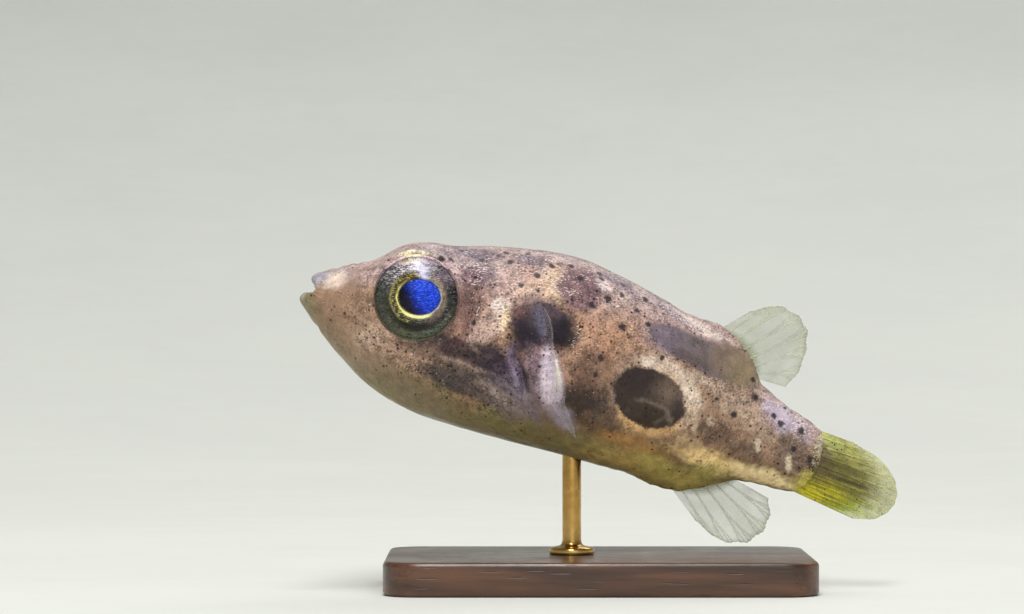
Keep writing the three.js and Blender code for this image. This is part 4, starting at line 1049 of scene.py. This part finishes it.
def eye_paint(u, v, colours):
    """The eye's front: its colours, the colours and strength of its glints, its dark grains and a
    painted glow, laid ring by ring from the limb in to the pupil.

    u and v are millimetres right and up as seen from beside the eye. into is the distance
    from the pupil in pupil sizes, and way the direction from it.
    """
    spots = np.stack([u, v, 0 * u], -1)
    reach = np.hypot(u, v)
    into = pupil_reach(u, v)
    way = np.degrees(np.arctan2(v - PUPIL["v"], u - PUPIL["u"]))

    def facing(middle, half):
        return smooth(np.cos(np.radians(way - middle)), math.cos(math.radians(half)), 1)

    def ring(distance, middle, half):
        return bell((distance - middle) / half)

    fine = ripple(spots * [0.5, 1.5, 1], 0.3, 301, 9)
    rim = smooth(reach, 1.74, 1.9)
    # A painted reflection of the overhead light: a pale bluish streak over the upper eye, which
    # also glows in the glow below.
    painted_glare = bell((u - 0.13 - 0.32 * (1.55 - v)) / (0.2 + 0.2 * smooth(v, 0.8, 1.5)))
    painted_glare = painted_glare * smooth(v, 0.62, 0.9) * (1 - 0.5 * smooth(v, 1.5, 1.9))
    band = (1 - smooth(reach + 0.05 * fine, 1.1, 1.24)) * smooth(facing(165, 100), 0.02, 0.3)
    lid = v + 0.1 * u * u + 0.04 * fine - 1.46
    arc = ring(reach - 0.08 * np.cos(np.radians(way + 60)), 1.2, 0.15)
    shown = np.broadcast_to(tone(70, 74, 78), u.shape + (3,))
    for rgb, share in (
        ((64, 64, 46), facing(-155, 95)),
        ((112, 104, 122), facing(95, 85) * smooth(reach, 0.95, 1.2)),
        ((164, 138, 128), facing(-5, 95) * (1 - smooth(reach, 1.24, 1.38))),
        ((32, 30, 37), facing(-28, 75) * ring(reach, 1.58, 0.18)),
        ((128, 110, 120), facing(55, 45) * ring(reach, 1.6, 0.25)),
        ((38, 34, 24), facing(-110, 85) * arc),
        ((96, 102, 84), facing(-80, 90) * smooth(reach, 1.4, 1.56)),
        ((74, 78, 78), facing(180, 80) * ring(reach, 1.56, 0.18) * 0.8),
        ((140, 114, 104), facing(5, 95) * rim),
        ((112, 94, 84), facing(190, 80) * rim * 0.8),
        ((150, 128, 140), facing(90, 80) * smooth(reach, 1.6, 1.86)),
        ((106, 94, 50), band),
        ((78, 60, 36), band * facing(115, 50) * 0.85),
        ((34, 30, 14), band * ring(into, 1.22, 0.1) * facing(205, 80) * 0.95),
        ((40, 38, 24), band * facing(228, 40) * 0.7),
        ((206, 194, 130), band * ring(reach, 1.14, 0.05) * facing(185, 70) * 0.6),
        ((168, 150, 100), ring(into, 1.17, 0.07) * facing(25, 75) * 0.75),
        ((206, 206, 232), painted_glare),
        # A dark line under the edge of the skin's fold over the eye: painted shadow of the fold,
        # fainter on the painted reflection.
        ((48, 40, 48), bell((lid + 0.03) / 0.05) * (0.6 - 0.4 * painted_glare)),
        ((200, 172, 182), smooth(lid, -0.02, 0.05)),
        ((236, 220, 180), smooth(lid, -0.02, 0.05) * bell((u + 0.15) / 0.45)),
    ):
        shown = mixed(shown, tone(*rgb), share)
    shown = shown * (1 + 0.3 * fine)[..., None]
    # Gold rings round the pupil, in the iris's own colours; the glow made from them below is
    # painted light.
    gleam = ring(into, 1.08, 0.05)
    crescent = ring(into, 1.11, 0.08)
    painted_ring_glow = 1.9 * crescent * facing(-100, 55) + 0.55 * gleam * facing(190, 70)
    for rgb, share in (
        ((255, 250, 184), crescent * facing(-100, 60) * 1.5),
        ((244, 230, 130), gleam * facing(185, 80)),
        ((226, 240, 250), ring(into, 1.05, 0.04) * facing(-5, 85)),
        ((20, 14, 14), 1 - smooth(into, 0.97, 1.03)),
    ):
        shown = mixed(shown, tone(*rgb), np.clip(share, 0, 1))

    # The lens: its blue is painted lighter towards the upper right and painted shade takes it to
    # near black towards the lower left; it also glows as painted light in the glow below.
    blue = np.array(colours.pupil)
    pupil_shade = smooth(-(u - PUPIL["u"]) - 0.5 * (v - PUPIL["v"]) + 0.14 * fine, -0.2, 0.72)
    lit_and_shaded_pupil = mixed(blue * 0.75, blue * 1.1, smooth(u + 0.5 * v, -0.6, 0.6))
    lit_and_shaded_pupil = mixed(lit_and_shaded_pupil, tone(5, 2, 16), pupil_shade)
    inside = 1 - smooth(into, 0.93, 1.0)

    sheen = np.broadcast_to(tone(150, 152, 138), u.shape + (3,))
    for rgb, share in (
        ((244, 236, 240), facing(95, 85) * smooth(reach, 0.9, 1.2)),
        ((204, 188, 182), facing(0, 70)),
        ((124, 122, 76), facing(-140, 80) * smooth(reach, 1.2, 1.4)),
        ((220, 206, 136), band),
        ((70, 130, 255), inside),
    ):
        sheen = mixed(sheen, tone(*rgb), share)
    glints = 0.5 + 0.4 * facing(100, 90) * smooth(reach, 0.9, 1.2) + 0.25 * facing(-100, 80)
    glints = glints * (1 - 0.8 * arc * facing(-105, 85)) * (1 - 0.7 * rim)
    glints = glints + (0.72 - glints) * band
    glints = glints * (1 - gleam) * (1 - inside) + 0.75 * inside * (1 - 0.8 * pupil_shade)
    cells = (0.5 + 0.4 * band) * (1 - inside) * (1 - gleam)
    # glow is painted light: the lens's blue, the painted reflection streak and the gold rings
    # glow without a lamp.
    return dict(
        paint=np.clip(mixed(shown, lit_and_shaded_pupil, inside), 0, 1),
        glow=lit_and_shaded_pupil * inside[..., None] + tone(160, 154, 186) * (painted_glare * (1 - inside))[..., None]
        + tone(255, 246, 150) * np.clip(painted_ring_glow, 0, 1.6)[..., None],
        sheen=sheen, glints=np.clip(glints, 0, 0.95), cells=cells,
    )


def eye_places(side, depths, u, v):
    """Row places of an eye's points, from places u right and v up beside its axis, which are
    level with the row frame, and depths out of its widest circle."""
    x, z = turned(u, v, -SWIM_PITCH)
    return placed(np.stack([EYE["x"] + x, side * (EYE["equator"] + depths), EYE["z"] + z], -1))


def eye_material():
    """Painted iris with fine level glints, dark grains, a dim metal-like sheen and a painted glow
    (emission) read from the glow attribute.
    """
    made, tree, shader = new_material(
        "puffer iris", specular_ior_level=0.05, emission_strength=0.42,
    )
    paint = stored(tree, "paint", "Color")
    grains = use(
        tree, "pigment cells", Base=paint, Light=stored(tree, "sheen", "Color"),
        Dark=blend(tree, 1.0, paint, colour(tone(80, 76, 70)), "MULTIPLY"), Cells=10500.0,
        Amount=stored(tree, "cells"), Glints=stored(tree, "glints"), Mottle=0.45,
        Stretch=(0.3, 1.0, 1.6),
    )
    film = use(tree, "patina", Scale=2500.0, Low=0.25, High=0.45)
    feed(
        tree, shader, base_color=grains["Color"], roughness=film["Value"],
        metallic=span(tree, grains["Glint"], 0.0, 1.0, 0.0, 0.3),
        normal=bump(tree, grains["Height"], 0.00001, 0.5),
        emission_color=stored(tree, "glow", "Color"),
    )
    return made


def cornea_material():
    """Clear, wet cornea."""
    made, tree, shader = new_material(
        "puffer cornea", base_color=(1, 1, 1, 1), ior=1.28, transmission_weight=1.0,
        roughness=0.0,
    )
    wave = noise(tree, own_place(tree), 900.0, 1.0)
    feed(tree, shader, normal=bump(tree, wave, 0.00002, 0.25))
    return made


class PUFFER_OT_eyes(bpy.types.Operator):
    """Build both eyeballs, each with its painted iris, lens and clear cornea"""

    bl_idname = "puffer.eyes"
    bl_label = "Eyes"

    def execute(self, context):
        lens = context.scene.puffer_sizes.lens / MM
        iris, clear = eye_material(), cornea_material()
        around, back = EYE_GRID["around"], EYE_GRID["back"]
        turn = np.arange(around) / around * 2 * math.pi
        lean = np.linspace(0, math.pi / 2, EYE_GRID["front"])[:, None]
        reach = EYE["edge"] * np.sin(lean) ** 1.1
        u, v = reach * np.cos(turn), reach * np.sin(turn)
        behind = np.linspace(0, 1, back + 1)[1:, None]
        rim = EYE["edge"] * np.cos(behind * math.pi / 2)
        fall = dome(EYE["edge"]) - behind * (EYE["back"] + dome(EYE["edge"]))
        globe = (
            np.concatenate([iris_depth(u, v, lens), np.broadcast_to(fall, (back, around))]),
            np.concatenate([u, rim * np.cos(turn)]),
            np.concatenate([v, rim * np.sin(turn)]),
        )
        paints = {}
        for key, value in eye_paint(u, v, context.scene.puffer_colours).items():
            rest = tone(104, 92, 88) if key == "paint" else 0 * value[0, 0]
            rest = np.broadcast_to(rest, (back, *value.shape[1:]))
            paints[key] = np.concatenate([value, rest])

        lean = np.linspace(0, math.pi / 2, EYE_GRID["cornea"])[:, None]
        reach = CORNEA["reach"] * np.sin(lean)
        u, v = reach * np.cos(turn), reach * np.sin(turn)
        tuck = CORNEA["tucked"] * smooth(reach, 1.66, CORNEA["reach"])
        over = np.broadcast_to(dome(reach) + CORNEA["clear_of_globe"] - tuck, u.shape)
        under = iris_depth(u, v, lens) - CORNEA["sunk"]
        sheets = ((over, under), (u, u), (v, v))
        cornea = [np.concatenate([outer, inner[::-1]]) for outer, inner in sheets]
        for name, side in (("left", -1), ("right", 1)):
            ball = lofted(f"eye_{name}_globe", eye_places(side, *globe), **paints)
            finished(ball, "eye", iris, f"eye_{name}")
            window = lofted(f"eye_{name}_cornea", eye_places(side, *cornea))
            finished(window, "eye", clear, f"eye_{name}")
        return {"FINISHED"}


# ---- the teeth ----------------------------------------------------------------------------


def tooth_rings(jaw, around=64, rows=40):
    """A jaw's tooth plate as rings stacked from its left end to its right end.

    The plate follows the curve front + (back - front) (y / half)^2 of the jaw. Its section is
    an oval whose thickness falls away at both ends and in a fine furrow on the midline.
    """
    share = np.linspace(-1, 1, rows)[:, None]
    turn = np.arange(around)[None, :] / around * 2 * math.pi
    y = TOOTH["half"] * share
    middle = TOOTH["front"] + (TOOTH["back"] - TOOTH["front"]) * 0.75 * share**2 + 0.1
    swell = np.sqrt(np.clip(1 - share**4, 0, 1)) * (1 - 0.28 * bell(share / 0.07))
    x = middle - 0.1 * swell * np.cos(turn)
    tall = TOOTH["height"] / 2 * swell * np.sin(turn)
    z = jaw * (TOOTH["lift"] + TOOTH["height"] / 2) + tall * (1 - 0.25 * np.cos(turn))
    x, y, z = np.broadcast_arrays(x - MOUTH_LINE["x"], y, z)
    x, z = turned(x, z, -MOUTH_LINE["rise"])
    return np.stack([MOUTH_LINE["x"] + x, y, MOUTH_LINE["z"] + z], -1)


def tooth_material():
    """Glossy, slightly translucent tooth with a faint mottle in its colour, gloss and surface."""
    made, tree, shader = new_material(
        "puffer tooth", ior=1.55, subsurface_weight=0.3, subsurface_scale=0.0002,
    )
    film = use(tree, "patina", Scale=5000.0, Low=0.15, High=0.32)
    pale, worn = colour(tone(244, 238, 222)), colour(tone(214, 204, 180))
    feed(
        tree, shader, base_color=blend(tree, film["Mask"], pale, worn),
        roughness=film["Value"], normal=bump(tree, film["Mask"], 0.00001, 0.4),
    )
    return made


class PUFFER_OT_teeth(bpy.types.Operator):
    """Build the tooth plate of each jaw"""

    bl_idname = "puffer.teeth"
    bl_label = "Teeth"

    def execute(self, context):
        enamel = tooth_material()
        for name, jaw in (("teeth_upper", 1), ("teeth_lower", -1)):
            plate = lofted(f"{name}_plate", placed(tooth_rings(jaw)))
            finished(plate, "tooth", enamel, name)
        return {"FINISHED"}


# ---- the fins -----------------------------------------------------------------------------


def ray_relief(across, along, rays):
    """Height of the rays over the web, from 0 to 1.

    Rays stand at whole numbers of across times the number of gaps. Each splits into two
    branches that part from halfway out, and each branch again near the edge.
    """
    at = across * (rays - 1)
    part = 0.21 * smooth(along, 0.4, 1.0)
    twig = 0.1 * smooth(along, 0.68, 1.0)
    branches = (part + twig, part - twig, twig - part, -part - twig)
    away = np.min([np.abs((at - branch + 0.5) % 1 - 0.5) for branch in branches], 0)
    return bell(away / (0.085 - 0.045 * along))


def fin_rings(fin, place, sizes, boldness=1.0):
    """A fin as closed rings from its foot to its edge, with its across and along shares.

    Each ring runs over the fin's one face and back over the other, half the thickness off
    the middle surface place(across, along) on each side, with the rays raised by boldness.
    """
    across, along = np.meshgrid(*(np.linspace(0, 1, count) for count in fin["grid"]))
    middle = place(across, along)
    normal = np.cross(np.gradient(middle, axis=1), np.gradient(middle, axis=0))
    normal /= np.maximum(np.linalg.norm(normal, axis=-1, keepdims=True), 1e-9)
    foot, edge = sizes.fin_foot / MM / 2, sizes.fin_edge / MM / 2
    web = edge + (foot - edge) * (1 - along) ** 2.2
    rim = 1 - 0.75 * smooth(along, 0.985, 1.0)
    rim *= 1 - 0.75 * smooth(np.abs(across - 0.5), 0.488, 0.5)
    ray = ray_relief(across, along, fin["rays"]) * (1 - 0.65 * along)
    half = ((web + boldness * sizes.ray / MM * ray) * rim)[..., None]
    rings = np.concatenate([middle + normal * half, (middle - normal * half)[:, ::-1]], 1)
    both = [np.concatenate([share, share[:, ::-1]], 1) for share in (across, along)]
    return rings, both[0], both[1]


def runs_of(fin, across, along):
    """How far out of its foot each point lies: the along share of the fin's length at across,
    which runs smoothly through the rays' lengths and dips between rays."""
    length = through(fin["length"], across * (len(fin["length"]) - 1))
    gaps = across * (fin["rays"] - 1) * math.pi
    dip = np.sin(gaps) ** 2 + 0.3 * np.sin(4 * gaps + 0.7) ** 2
    length = length * (1 - fin.get("scallop", SCALLOP) * dip)
    return along * (length + ROOT_SINK) - ROOT_SINK


def mid_fin(fin):
    """Middle surface of a fin in the fish's midplane, waving sideways towards its edge."""

    def place(across, along):
        root = through(fin["root"], across * (len(fin["root"]) - 1))
        angle = np.radians(through(fin["tilt"], across * (len(fin["tilt"]) - 1)))
        run = runs_of(fin, across, along)
        sway = fin["wave"] * along**2 * np.sin(2.6 * math.pi * across + 1.2 * along + 0.5)
        return np.stack([
            root[..., 0] + run * np.cos(angle), sway, root[..., 1] + run * np.sin(angle),
        ], -1)

    return place


def flank_half(x, z):
    """Half the body's width at x, z on the flank, from the nearest ring."""
    t = np.linspace(8, len(RINGS) - 2, 4000)
    rows = through(RINGS, t)
    near = np.argmin(np.abs((rows[:, 0] + rows[:, 2]) / 2 - x))
    top, low, half = rows[near, 1], rows[near, 3], rows[near, 4]
    high = (z - (top + low) / 2) / ((top - low) / 2)
    power = 2 / rows[near, 6 if high > 0 else 7]
    return half * (1 - abs(high) ** power) ** (1 / power) + lobe_at(x, z)


def pectoral_fin(side):
    """Middle surface of a pectoral fin: it stands out of the flank and twists, its upper
    rays pointing out and up and its lower ones out, down and back."""
    root = PECTORAL["root"]
    depths = [flank_half(x, z) for x, z in root]

    def place(across, along):
        t = across * (len(root) - 1)
        foot = through(root, t)
        up = np.radians(through(PECTORAL["rise"], t))
        back = np.radians(through(PECTORAL["swept"], t))
        run = runs_of(PECTORAL, across, along)
        curl = PECTORAL["curl"] * run**2
        wave = PECTORAL["wave"] * along**2 * np.sin(5 * math.pi * across + side)
        return np.stack([
            foot[..., 0] + run * np.cos(up) * np.sin(back) + curl + wave,
            side * (through(depths, t) + run * np.cos(up) * np.cos(back)),
            foot[..., 1] + run * np.sin(up),
        ], -1)

    return place


def fin_material(name, dark, light, amount, coat=0.3):
    """Thin web with rays: painted colour, a few pigment cells, and how clear it is."""
    made, tree, shader = new_material(
        name, ior=1.36, coat_weight=coat, coat_roughness=0.12, subsurface_weight=0.2,
        subsurface_scale=0.0002,
    )
    cells = use(
        tree, "pigment cells", Base=stored(tree, "paint", "Color"), Dark=colour(dark),
        Light=colour(light), Cells=9000.0, Amount=amount, Glints=0.16, Mottle=0.25,
    )
    shown = maths(tree, "MULTIPLY_ADD", cells["Glint"], 0.15, stored(tree, "veil"))
    feed(
        tree, shader, base_color=cells["Color"],
        alpha=add(tree, "Clamp", {0: shown}).outputs[0],
        roughness=use(tree, "patina", Scale=1500.0, Low=0.28, High=0.45)["Value"],
        normal=bump(tree, cells["Height"], 0.00001, 0.4),
    )
    return made


def clear_paint(fin, across, along, web, clear=1.0):
    """Colour and opacity of a nearly clear fin: pale rays in a web with a misty edge."""
    ray = ray_relief(across, along, fin["rays"])
    spots = np.stack([across * 3, along * 3, 0 * along], -1)
    shown = mixed(np.array(web), tone(214, 212, 188), ray * 0.6)
    shown = shown * (1 + 0.12 * ripple(spots, 0.5, 401))[..., None]
    veil = 0.2 + 0.5 * (1 - smooth(along, 0.1, 0.3)) + 0.26 * ray
    veil += 0.16 * smooth(along, 0.93, 1.0) + 0.05 * ripple(spots, 0.8, 402)
    return shown, np.clip(veil * clear, 0.04, 0.98)


def tail_paint(across, along, colours):
    """Colour and opacity of the tail fin, from its upper edge (0) to its lower one (1).

    Olive web, yellow towards the lower foot, dark streaks that run out along the middle rays,
    pale glints by the upper foot and a greyish clear margin.
    """
    ray = ray_relief(across, along, CAUDAL["rays"])
    spots = np.stack([across * 4.5, along * 3.5, 0 * along], -1)
    upper = 1 - smooth(across, 0.3, 0.65)
    glow = smooth(across, 0.56, 0.78) * (1 - smooth(along, 0.35, 0.75))
    streak = bell((across - 0.5 - 0.06 * along) / 0.2) * (1 - smooth(along, 0.6, 0.95))
    streak = streak * (0.75 + 0.55 * ripple(spots * [1.6, 0.35, 1], 0.5, 411))
    lines = smooth(ripple(spots * [2.6, 0.3, 1], 0.4, 412, 8), 0.1, 0.7)
    pale = (1 - smooth(across, 0.28, 0.45)) * (1 - smooth(along, 0.18, 0.4))
    foot = 1 - smooth(along + 0.08 * ripple(spots * [2.0, 0.5, 1], 0.4, 415), 0.2, 0.4)
    margin = smooth(along + 0.04 * ripple(spots * [2.0, 0.5, 1], 0.6, 414), 0.62, 0.95)
    shown = np.broadcast_to(np.array(colours.tail), across.shape + (3,))
    for rgb, share in (
        ((190, 196, 122), 1 - smooth(across, 0.04, 0.42)),
        ((198, 188, 24), glow),
        ((156, 172, 14), smooth(across, 0.6, 0.9) * smooth(along, 0.4, 0.8)),
        ((170, 168, 96), smooth(along, 0.35, 0.7) * upper),
        ((48, 40, 20), np.clip(streak, 0, 1) * 0.85),
        ((70, 62, 26), lines * 0.55 * smooth(across, 0.1, 0.35)),
        ((216, 208, 168), pale * smooth(ripple(spots, 0.3, 413), -0.2, 0.6)),
        ((190, 188, 110), ray * 0.3),
        ((96, 80, 52), foot * bell((across - 0.45) / 0.26) * 0.85),
        ((204, 208, 156), margin * 0.85),
    ):
        shown = mixed(shown, tone(*rgb), share)
    veil = 0.98 - 0.08 * smooth(along, 0.3, 0.9) - 0.35 * margin + 0.2 * ray
    return shown, np.clip(veil, 0.3, 1)


def fin_piece(name, slot, material, rings, paint, veil):
    """Makes a fin's web from its rings, colours and opacity."""
    web = lofted(f"{name}_web", placed(rings), "strip", "strip", paint=paint, veil=veil)
    finished(web, slot, material, name)


class PUFFER_OT_midline_fins(bpy.types.Operator):
    """Build the dorsal, anal and tail fins"""

    bl_idname = "puffer.midline_fins"
    bl_label = "Midline Fins"

    def execute(self, context):
        sizes, colours = context.scene.puffer_sizes, context.scene.puffer_colours
        dark, light = tone(110, 100, 70), tone(236, 232, 206)
        clear = fin_material("clear fin", dark, light, 0.2)
        for name, fin, shade in (("fin_dorsal", DORSAL, 1.0), ("fin_anal", ANAL, 0.85)):
            rings, across, along = fin_rings(fin, mid_fin(fin), sizes)
            painting = clear_paint(fin, across, along, shade * np.array(colours.fin))
            fin_piece(name, "fin", clear, rings, *painting)
        web = fin_material("tail fin", tone(84, 74, 30), tone(222, 216, 150), 0.3, coat=0.1)
        rings, across, along = fin_rings(CAUDAL, mid_fin(CAUDAL), sizes)
        painting = tail_paint(across, along, colours)
        fin_piece("fin_caudal", "fin_tail", web, rings, *painting)
        return {"FINISHED"}


class PUFFER_OT_pectoral_fins(bpy.types.Operator):
    """Build the pectoral fin of each flank"""

    bl_idname = "puffer.pectoral_fins"
    bl_label = "Pectoral Fins"

    def execute(self, context):
        sizes, colours = context.scene.puffer_sizes, context.scene.puffer_colours
        web = fin_material("pectoral fin", tone(120, 104, 104), tone(240, 232, 226), 0.2, 0.08)
        for name, side in (("left", -1), ("right", 1)):
            rings, across, along = fin_rings(PECTORAL, pectoral_fin(side), sizes, boldness=0.45)
            shown, veil = clear_paint(PECTORAL, across, along, colours.pectoral, clear=0.4)
            shown = mixed(shown, tone(222, 204, 216), 1 - smooth(along, 0.15, 0.45))
            fin_piece(f"fin_pectoral_{name}", "fin", web, rings, shown, veil)
        return {"FINISHED"}


# ---- the stand ----------------------------------------------------------------------------


def turned_round(radii, levels, around):
    """Rings of points about the z axis, one for each radius and its level."""
    turn = np.arange(around) / around * 2 * math.pi
    x, y = radii[:, None] * np.cos(turn), radii[:, None] * np.sin(turn)
    return np.stack([x, y, np.broadcast_to(levels[:, None], x.shape)], -1)


def base_rings(low, high, height):
    """The base as rings of a rounded rectangle, from under its middle to over it.

    A corner point lies the corner radius, less the inset, from the corner's centre. Up the
    side, inset and height follow quarter circles of the bevel at both edges.
    """
    per_corner = 13
    turn = (np.arange(4)[:, None] + np.linspace(0, 1, per_corner)).ravel() * math.pi / 2
    lean = np.linspace(0, math.pi / 2, 9)
    bevel, corner = STAND["bevel"], STAND["corner"]
    low_edge, high_edge = bevel * (1 - np.cos(lean)), bevel * (1 - np.sin(lean))
    top = np.linspace(0.3, corner * 0.96, 5)[1:]
    insets = np.concatenate([[corner * 0.96], high_edge, low_edge, top])
    levels = np.concatenate([[0], low_edge, height - high_edge, np.full(4, height)])
    centre = (np.array(low) + np.array(high)) / 2 / MM
    half = (np.array(high) - np.array(low)) / 2 / MM - corner
    ring = (corner - insets)[:, None]
    x = centre[0] + np.repeat([1, -1, -1, 1], per_corner) * half[0] + ring * np.cos(turn)
    y = centre[1] + np.repeat([1, 1, -1, -1], per_corner) * half[1] + ring * np.sin(turn)
    rings = np.stack([x, y, np.broadcast_to(levels[:, None], x.shape)], -1)
    middle = np.broadcast_to([centre[0], centre[1], 0], rings[:1].shape)
    return np.concatenate([middle, rings, middle + [0, 0, height]]) * MM


def wood_material(colours):
    """Waxed dark walnut, its grain running along the base."""
    made, tree, shader = new_material("waxed walnut", coat_weight=0.25, coat_roughness=0.2)
    bands = add(tree, "TexNoise", {
        "Vector": own_place(tree, (40.0, 420.0, 420.0)), "Scale": 1.6, "Detail": 5.0,
        "Distortion": 0.8,
    })
    fibre = noise(tree, own_place(tree, (260.0, 5200.0, 5200.0)), 1.0, 3.0)
    pores = own_place(tree, (420.0, 6500.0, 6500.0))
    pore = add(tree, "TexVoronoi", {"Vector": pores, "Scale": 1.0})
    pit = span(tree, pore.outputs["Distance"], 0.26, 0.1)
    wood = np.array(colours.wood)
    pale, dark = colour(np.minimum(wood * 1.5, 1)), colour(wood * 0.45)
    shown = blend(tree, span(tree, bands.outputs[0], 0.35, 0.65), dark, pale)
    shown = blend(tree, span(tree, fibre, 0.3, 0.75, 0.0, 0.5), shown, colour(wood * 0.5))
    shown = blend(tree, maths(tree, "MULTIPLY", pit, 0.7), shown, colour(wood * 0.18))
    sunk = maths(tree, "MULTIPLY", pit, -1.0)
    under = bump(tree, fibre, 0.00003, 0.35)
    feed(
        tree, shader, base_color=shown,
        roughness=use(tree, "patina", Scale=300.0, Low=0.3, High=0.46)["Value"],
        normal=bump(tree, sunk, 0.00004, 0.5, Normal=under),
    )
    return made


def brass_material(colours):
    """Turned brass with fine tool rings and slight tarnish."""
    made, tree, shader = new_material("turned brass", metallic=1.0)
    film = use(tree, "patina", Scale=420.0, Low=0.16, High=0.34)
    brass = np.array(colours.brass)
    tarnish = colour(brass * [0.72, 0.62, 0.5])
    rings = noise(tree, own_place(tree, (300.0, 300.0, 26000.0)), 1.0)
    feed(
        tree, shader, base_color=blend(tree, film["Mask"], colour(brass), tarnish),
        roughness=film["Value"], normal=bump(tree, rings, 0.000006, 0.6),
    )
    return made


class PUFFER_OT_stand(bpy.types.Operator):
    """Build the display stand: wooden base and brass rod"""

    bl_idname = "puffer.stand"
    bl_label = "Stand"

    def execute(self, context):
        sizes, colours = context.scene.puffer_sizes, context.scene.puffer_colours
        height = sizes.base_height / MM
        low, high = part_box("stand_base")
        base = lofted("stand_base_block", base_rings(low, high, height))
        finished(base, "walnut", wood_material(colours), "stand_base")

        # The rod's turned outline: a spigot in the base, a moulded foot on it and the shaft.
        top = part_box("stand_rod")[1].z / MM
        radius = sizes.rod_radius / MM
        foot = [[r, height + above] for r, above in FOOT]
        profile = np.array([
            [0, STAND["spigot"]], [radius, STAND["spigot"]], [radius, foot[0][1]], *foot,
            [radius, height + 0.66], [radius, height + 2.0], [radius, top - 0.2],
            [0.38, top - 0.08], [0.28, top], [0, top],
        ])
        rings = turned_round(profile[:, 0], profile[:, 1], 72) + [STAND["rod_at"], 0, 0]
        rod = lofted("stand_rod_turned", rings * MM)
        finished(rod, "brass", brass_material(colours), "stand_rod")
        return {"FINISHED"}


# ---- the studio ---------------------------------------------------------------------------


def sweep_mesh(name, flat, wall, height, around=96):
    """A round pale sweep: a flat floor that curves up in a quarter ellipse into a wall."""
    lean = np.linspace(0, math.pi / 2, 24)[1:]
    reach = np.concatenate([
        [0.001], np.linspace(0.02, flat, 12), flat + (wall - flat) * np.sin(lean),
    ])
    level = np.concatenate([np.zeros(13), height * (1 - np.cos(lean))])
    rings = turned_round(reach, level, around)
    index = np.arange(len(reach) * around).reshape(-1, around)
    ahead = np.roll(index, -1, 1)
    faces = np.stack([index[:-1], index[1:], ahead[1:], ahead[:-1]], -1).reshape(-1, 4)
    mesh = bpy.data.meshes.new(name)
    mesh.from_pydata(rings.reshape(-1, 3).tolist(), [], faces.tolist() + [index[0].tolist()])
    mesh.shade_smooth()
    return linked(name, mesh)


def soft_light(name, place, size, watts, rgb):
    """A rectangular soft light at place that faces the model, in metres and watts."""
    data = bpy.data.lights.new(name, "AREA")
    data.shape = "RECTANGLE"
    data.size, data.size_y = size
    data.energy = watts
    data.color = rgb
    lamp = linked(name, data)
    lamp.location = place
    way = lamp.location - type(lamp.location)(LIGHTS_AIM)
    lamp.rotation_euler = way.to_track_quat("Z", "Y").to_euler()
    lamp.visible_camera = False


class PUFFER_OT_studio(bpy.types.Operator):
    """Set up the pale sweep, soft lights, world and camera"""

    bl_idname = "puffer.studio"
    bl_label = "Studio"

    def execute(self, context):
        scene = context.scene
        made, tree, shader = new_material("studio paper", roughness=0.9)
        film = use(tree, "patina", Scale=40.0, Low=0.85, High=0.95)
        pale, paler = colour(tone(226, 228, 222)), colour(tone(222, 224, 219))
        feed(
            tree, shader, roughness=film["Value"],
            base_color=blend(tree, film["Mask"], pale, paler),
        )
        floor = sweep_mesh("studio_sweep", 0.09, 0.8, 0.8)
        floor.data.materials.append(made)

        for name, settings in LIGHTS.items():
            soft_light(name, *settings)
        world = bpy.data.worlds.new("soft room")
        world.use_nodes = True
        background = world.node_tree.nodes["Background"].inputs
        background["Color"].default_value = ROOM["colour"]
        background["Strength"].default_value = ROOM["strength"]
        scene.world = world
        scene.view_settings.view_transform = "Standard"

        data = bpy.data.cameras.new("camera")
        data.sensor_width, data.lens = CAMERA["sensor_width"], CAMERA["lens"]
        data.clip_start, data.clip_end = 0.01, 10
        scene.camera = linked("camera", data)
        scene.camera.location = CAMERA["place"]
        scene.camera.rotation_euler = (math.pi / 2, 0, 0)
        return {"FINISHED"}


# ---- the panel and the run ----------------------------------------------------------------

STEPS = (
    PUFFER_OT_skin, PUFFER_OT_eyes, PUFFER_OT_teeth, PUFFER_OT_midline_fins,
    PUFFER_OT_pectoral_fins, PUFFER_OT_stand, PUFFER_OT_studio,
)


class PUFFER_PT_panel(bpy.types.Panel):
    """Lists the puffer's settings and building steps"""

    bl_idname = "PUFFER_PT_panel"
    bl_label = "Puffer"
    bl_space_type = "VIEW_3D"
    bl_region_type = "UI"
    bl_category = "Puffer"

    def draw(self, context):
        for group in (context.scene.puffer_sizes, context.scene.puffer_colours):
            for key in group.bl_rna.properties.keys():
                if key not in ("rna_type", "name"):
                    self.layout.prop(group, key)
        for step in STEPS:
            self.layout.operator(step.bl_idname)


CLASSES = (PufferSizes, PufferColours, *STEPS, PUFFER_PT_panel)


def register():
    """Adds the classes and the settings to Blender."""
    for made in CLASSES:
        bpy.utils.register_class(made)
    bpy.types.Scene.puffer_sizes = PointerProperty(type=PufferSizes)
    bpy.types.Scene.puffer_colours = PointerProperty(type=PufferColours)


def unregister():
    """Takes the classes and the settings out of Blender."""
    del bpy.types.Scene.puffer_colours
    del bpy.types.Scene.puffer_sizes
    for made in reversed(CLASSES):
        bpy.utils.unregister_class(made)


def main():
    """Registers the add-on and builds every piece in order."""
    register()
    for step in STEPS:
        area, name = step.bl_idname.split(".")
        getattr(getattr(bpy.ops, area), name)()


if __name__ == "__main__":
    main()
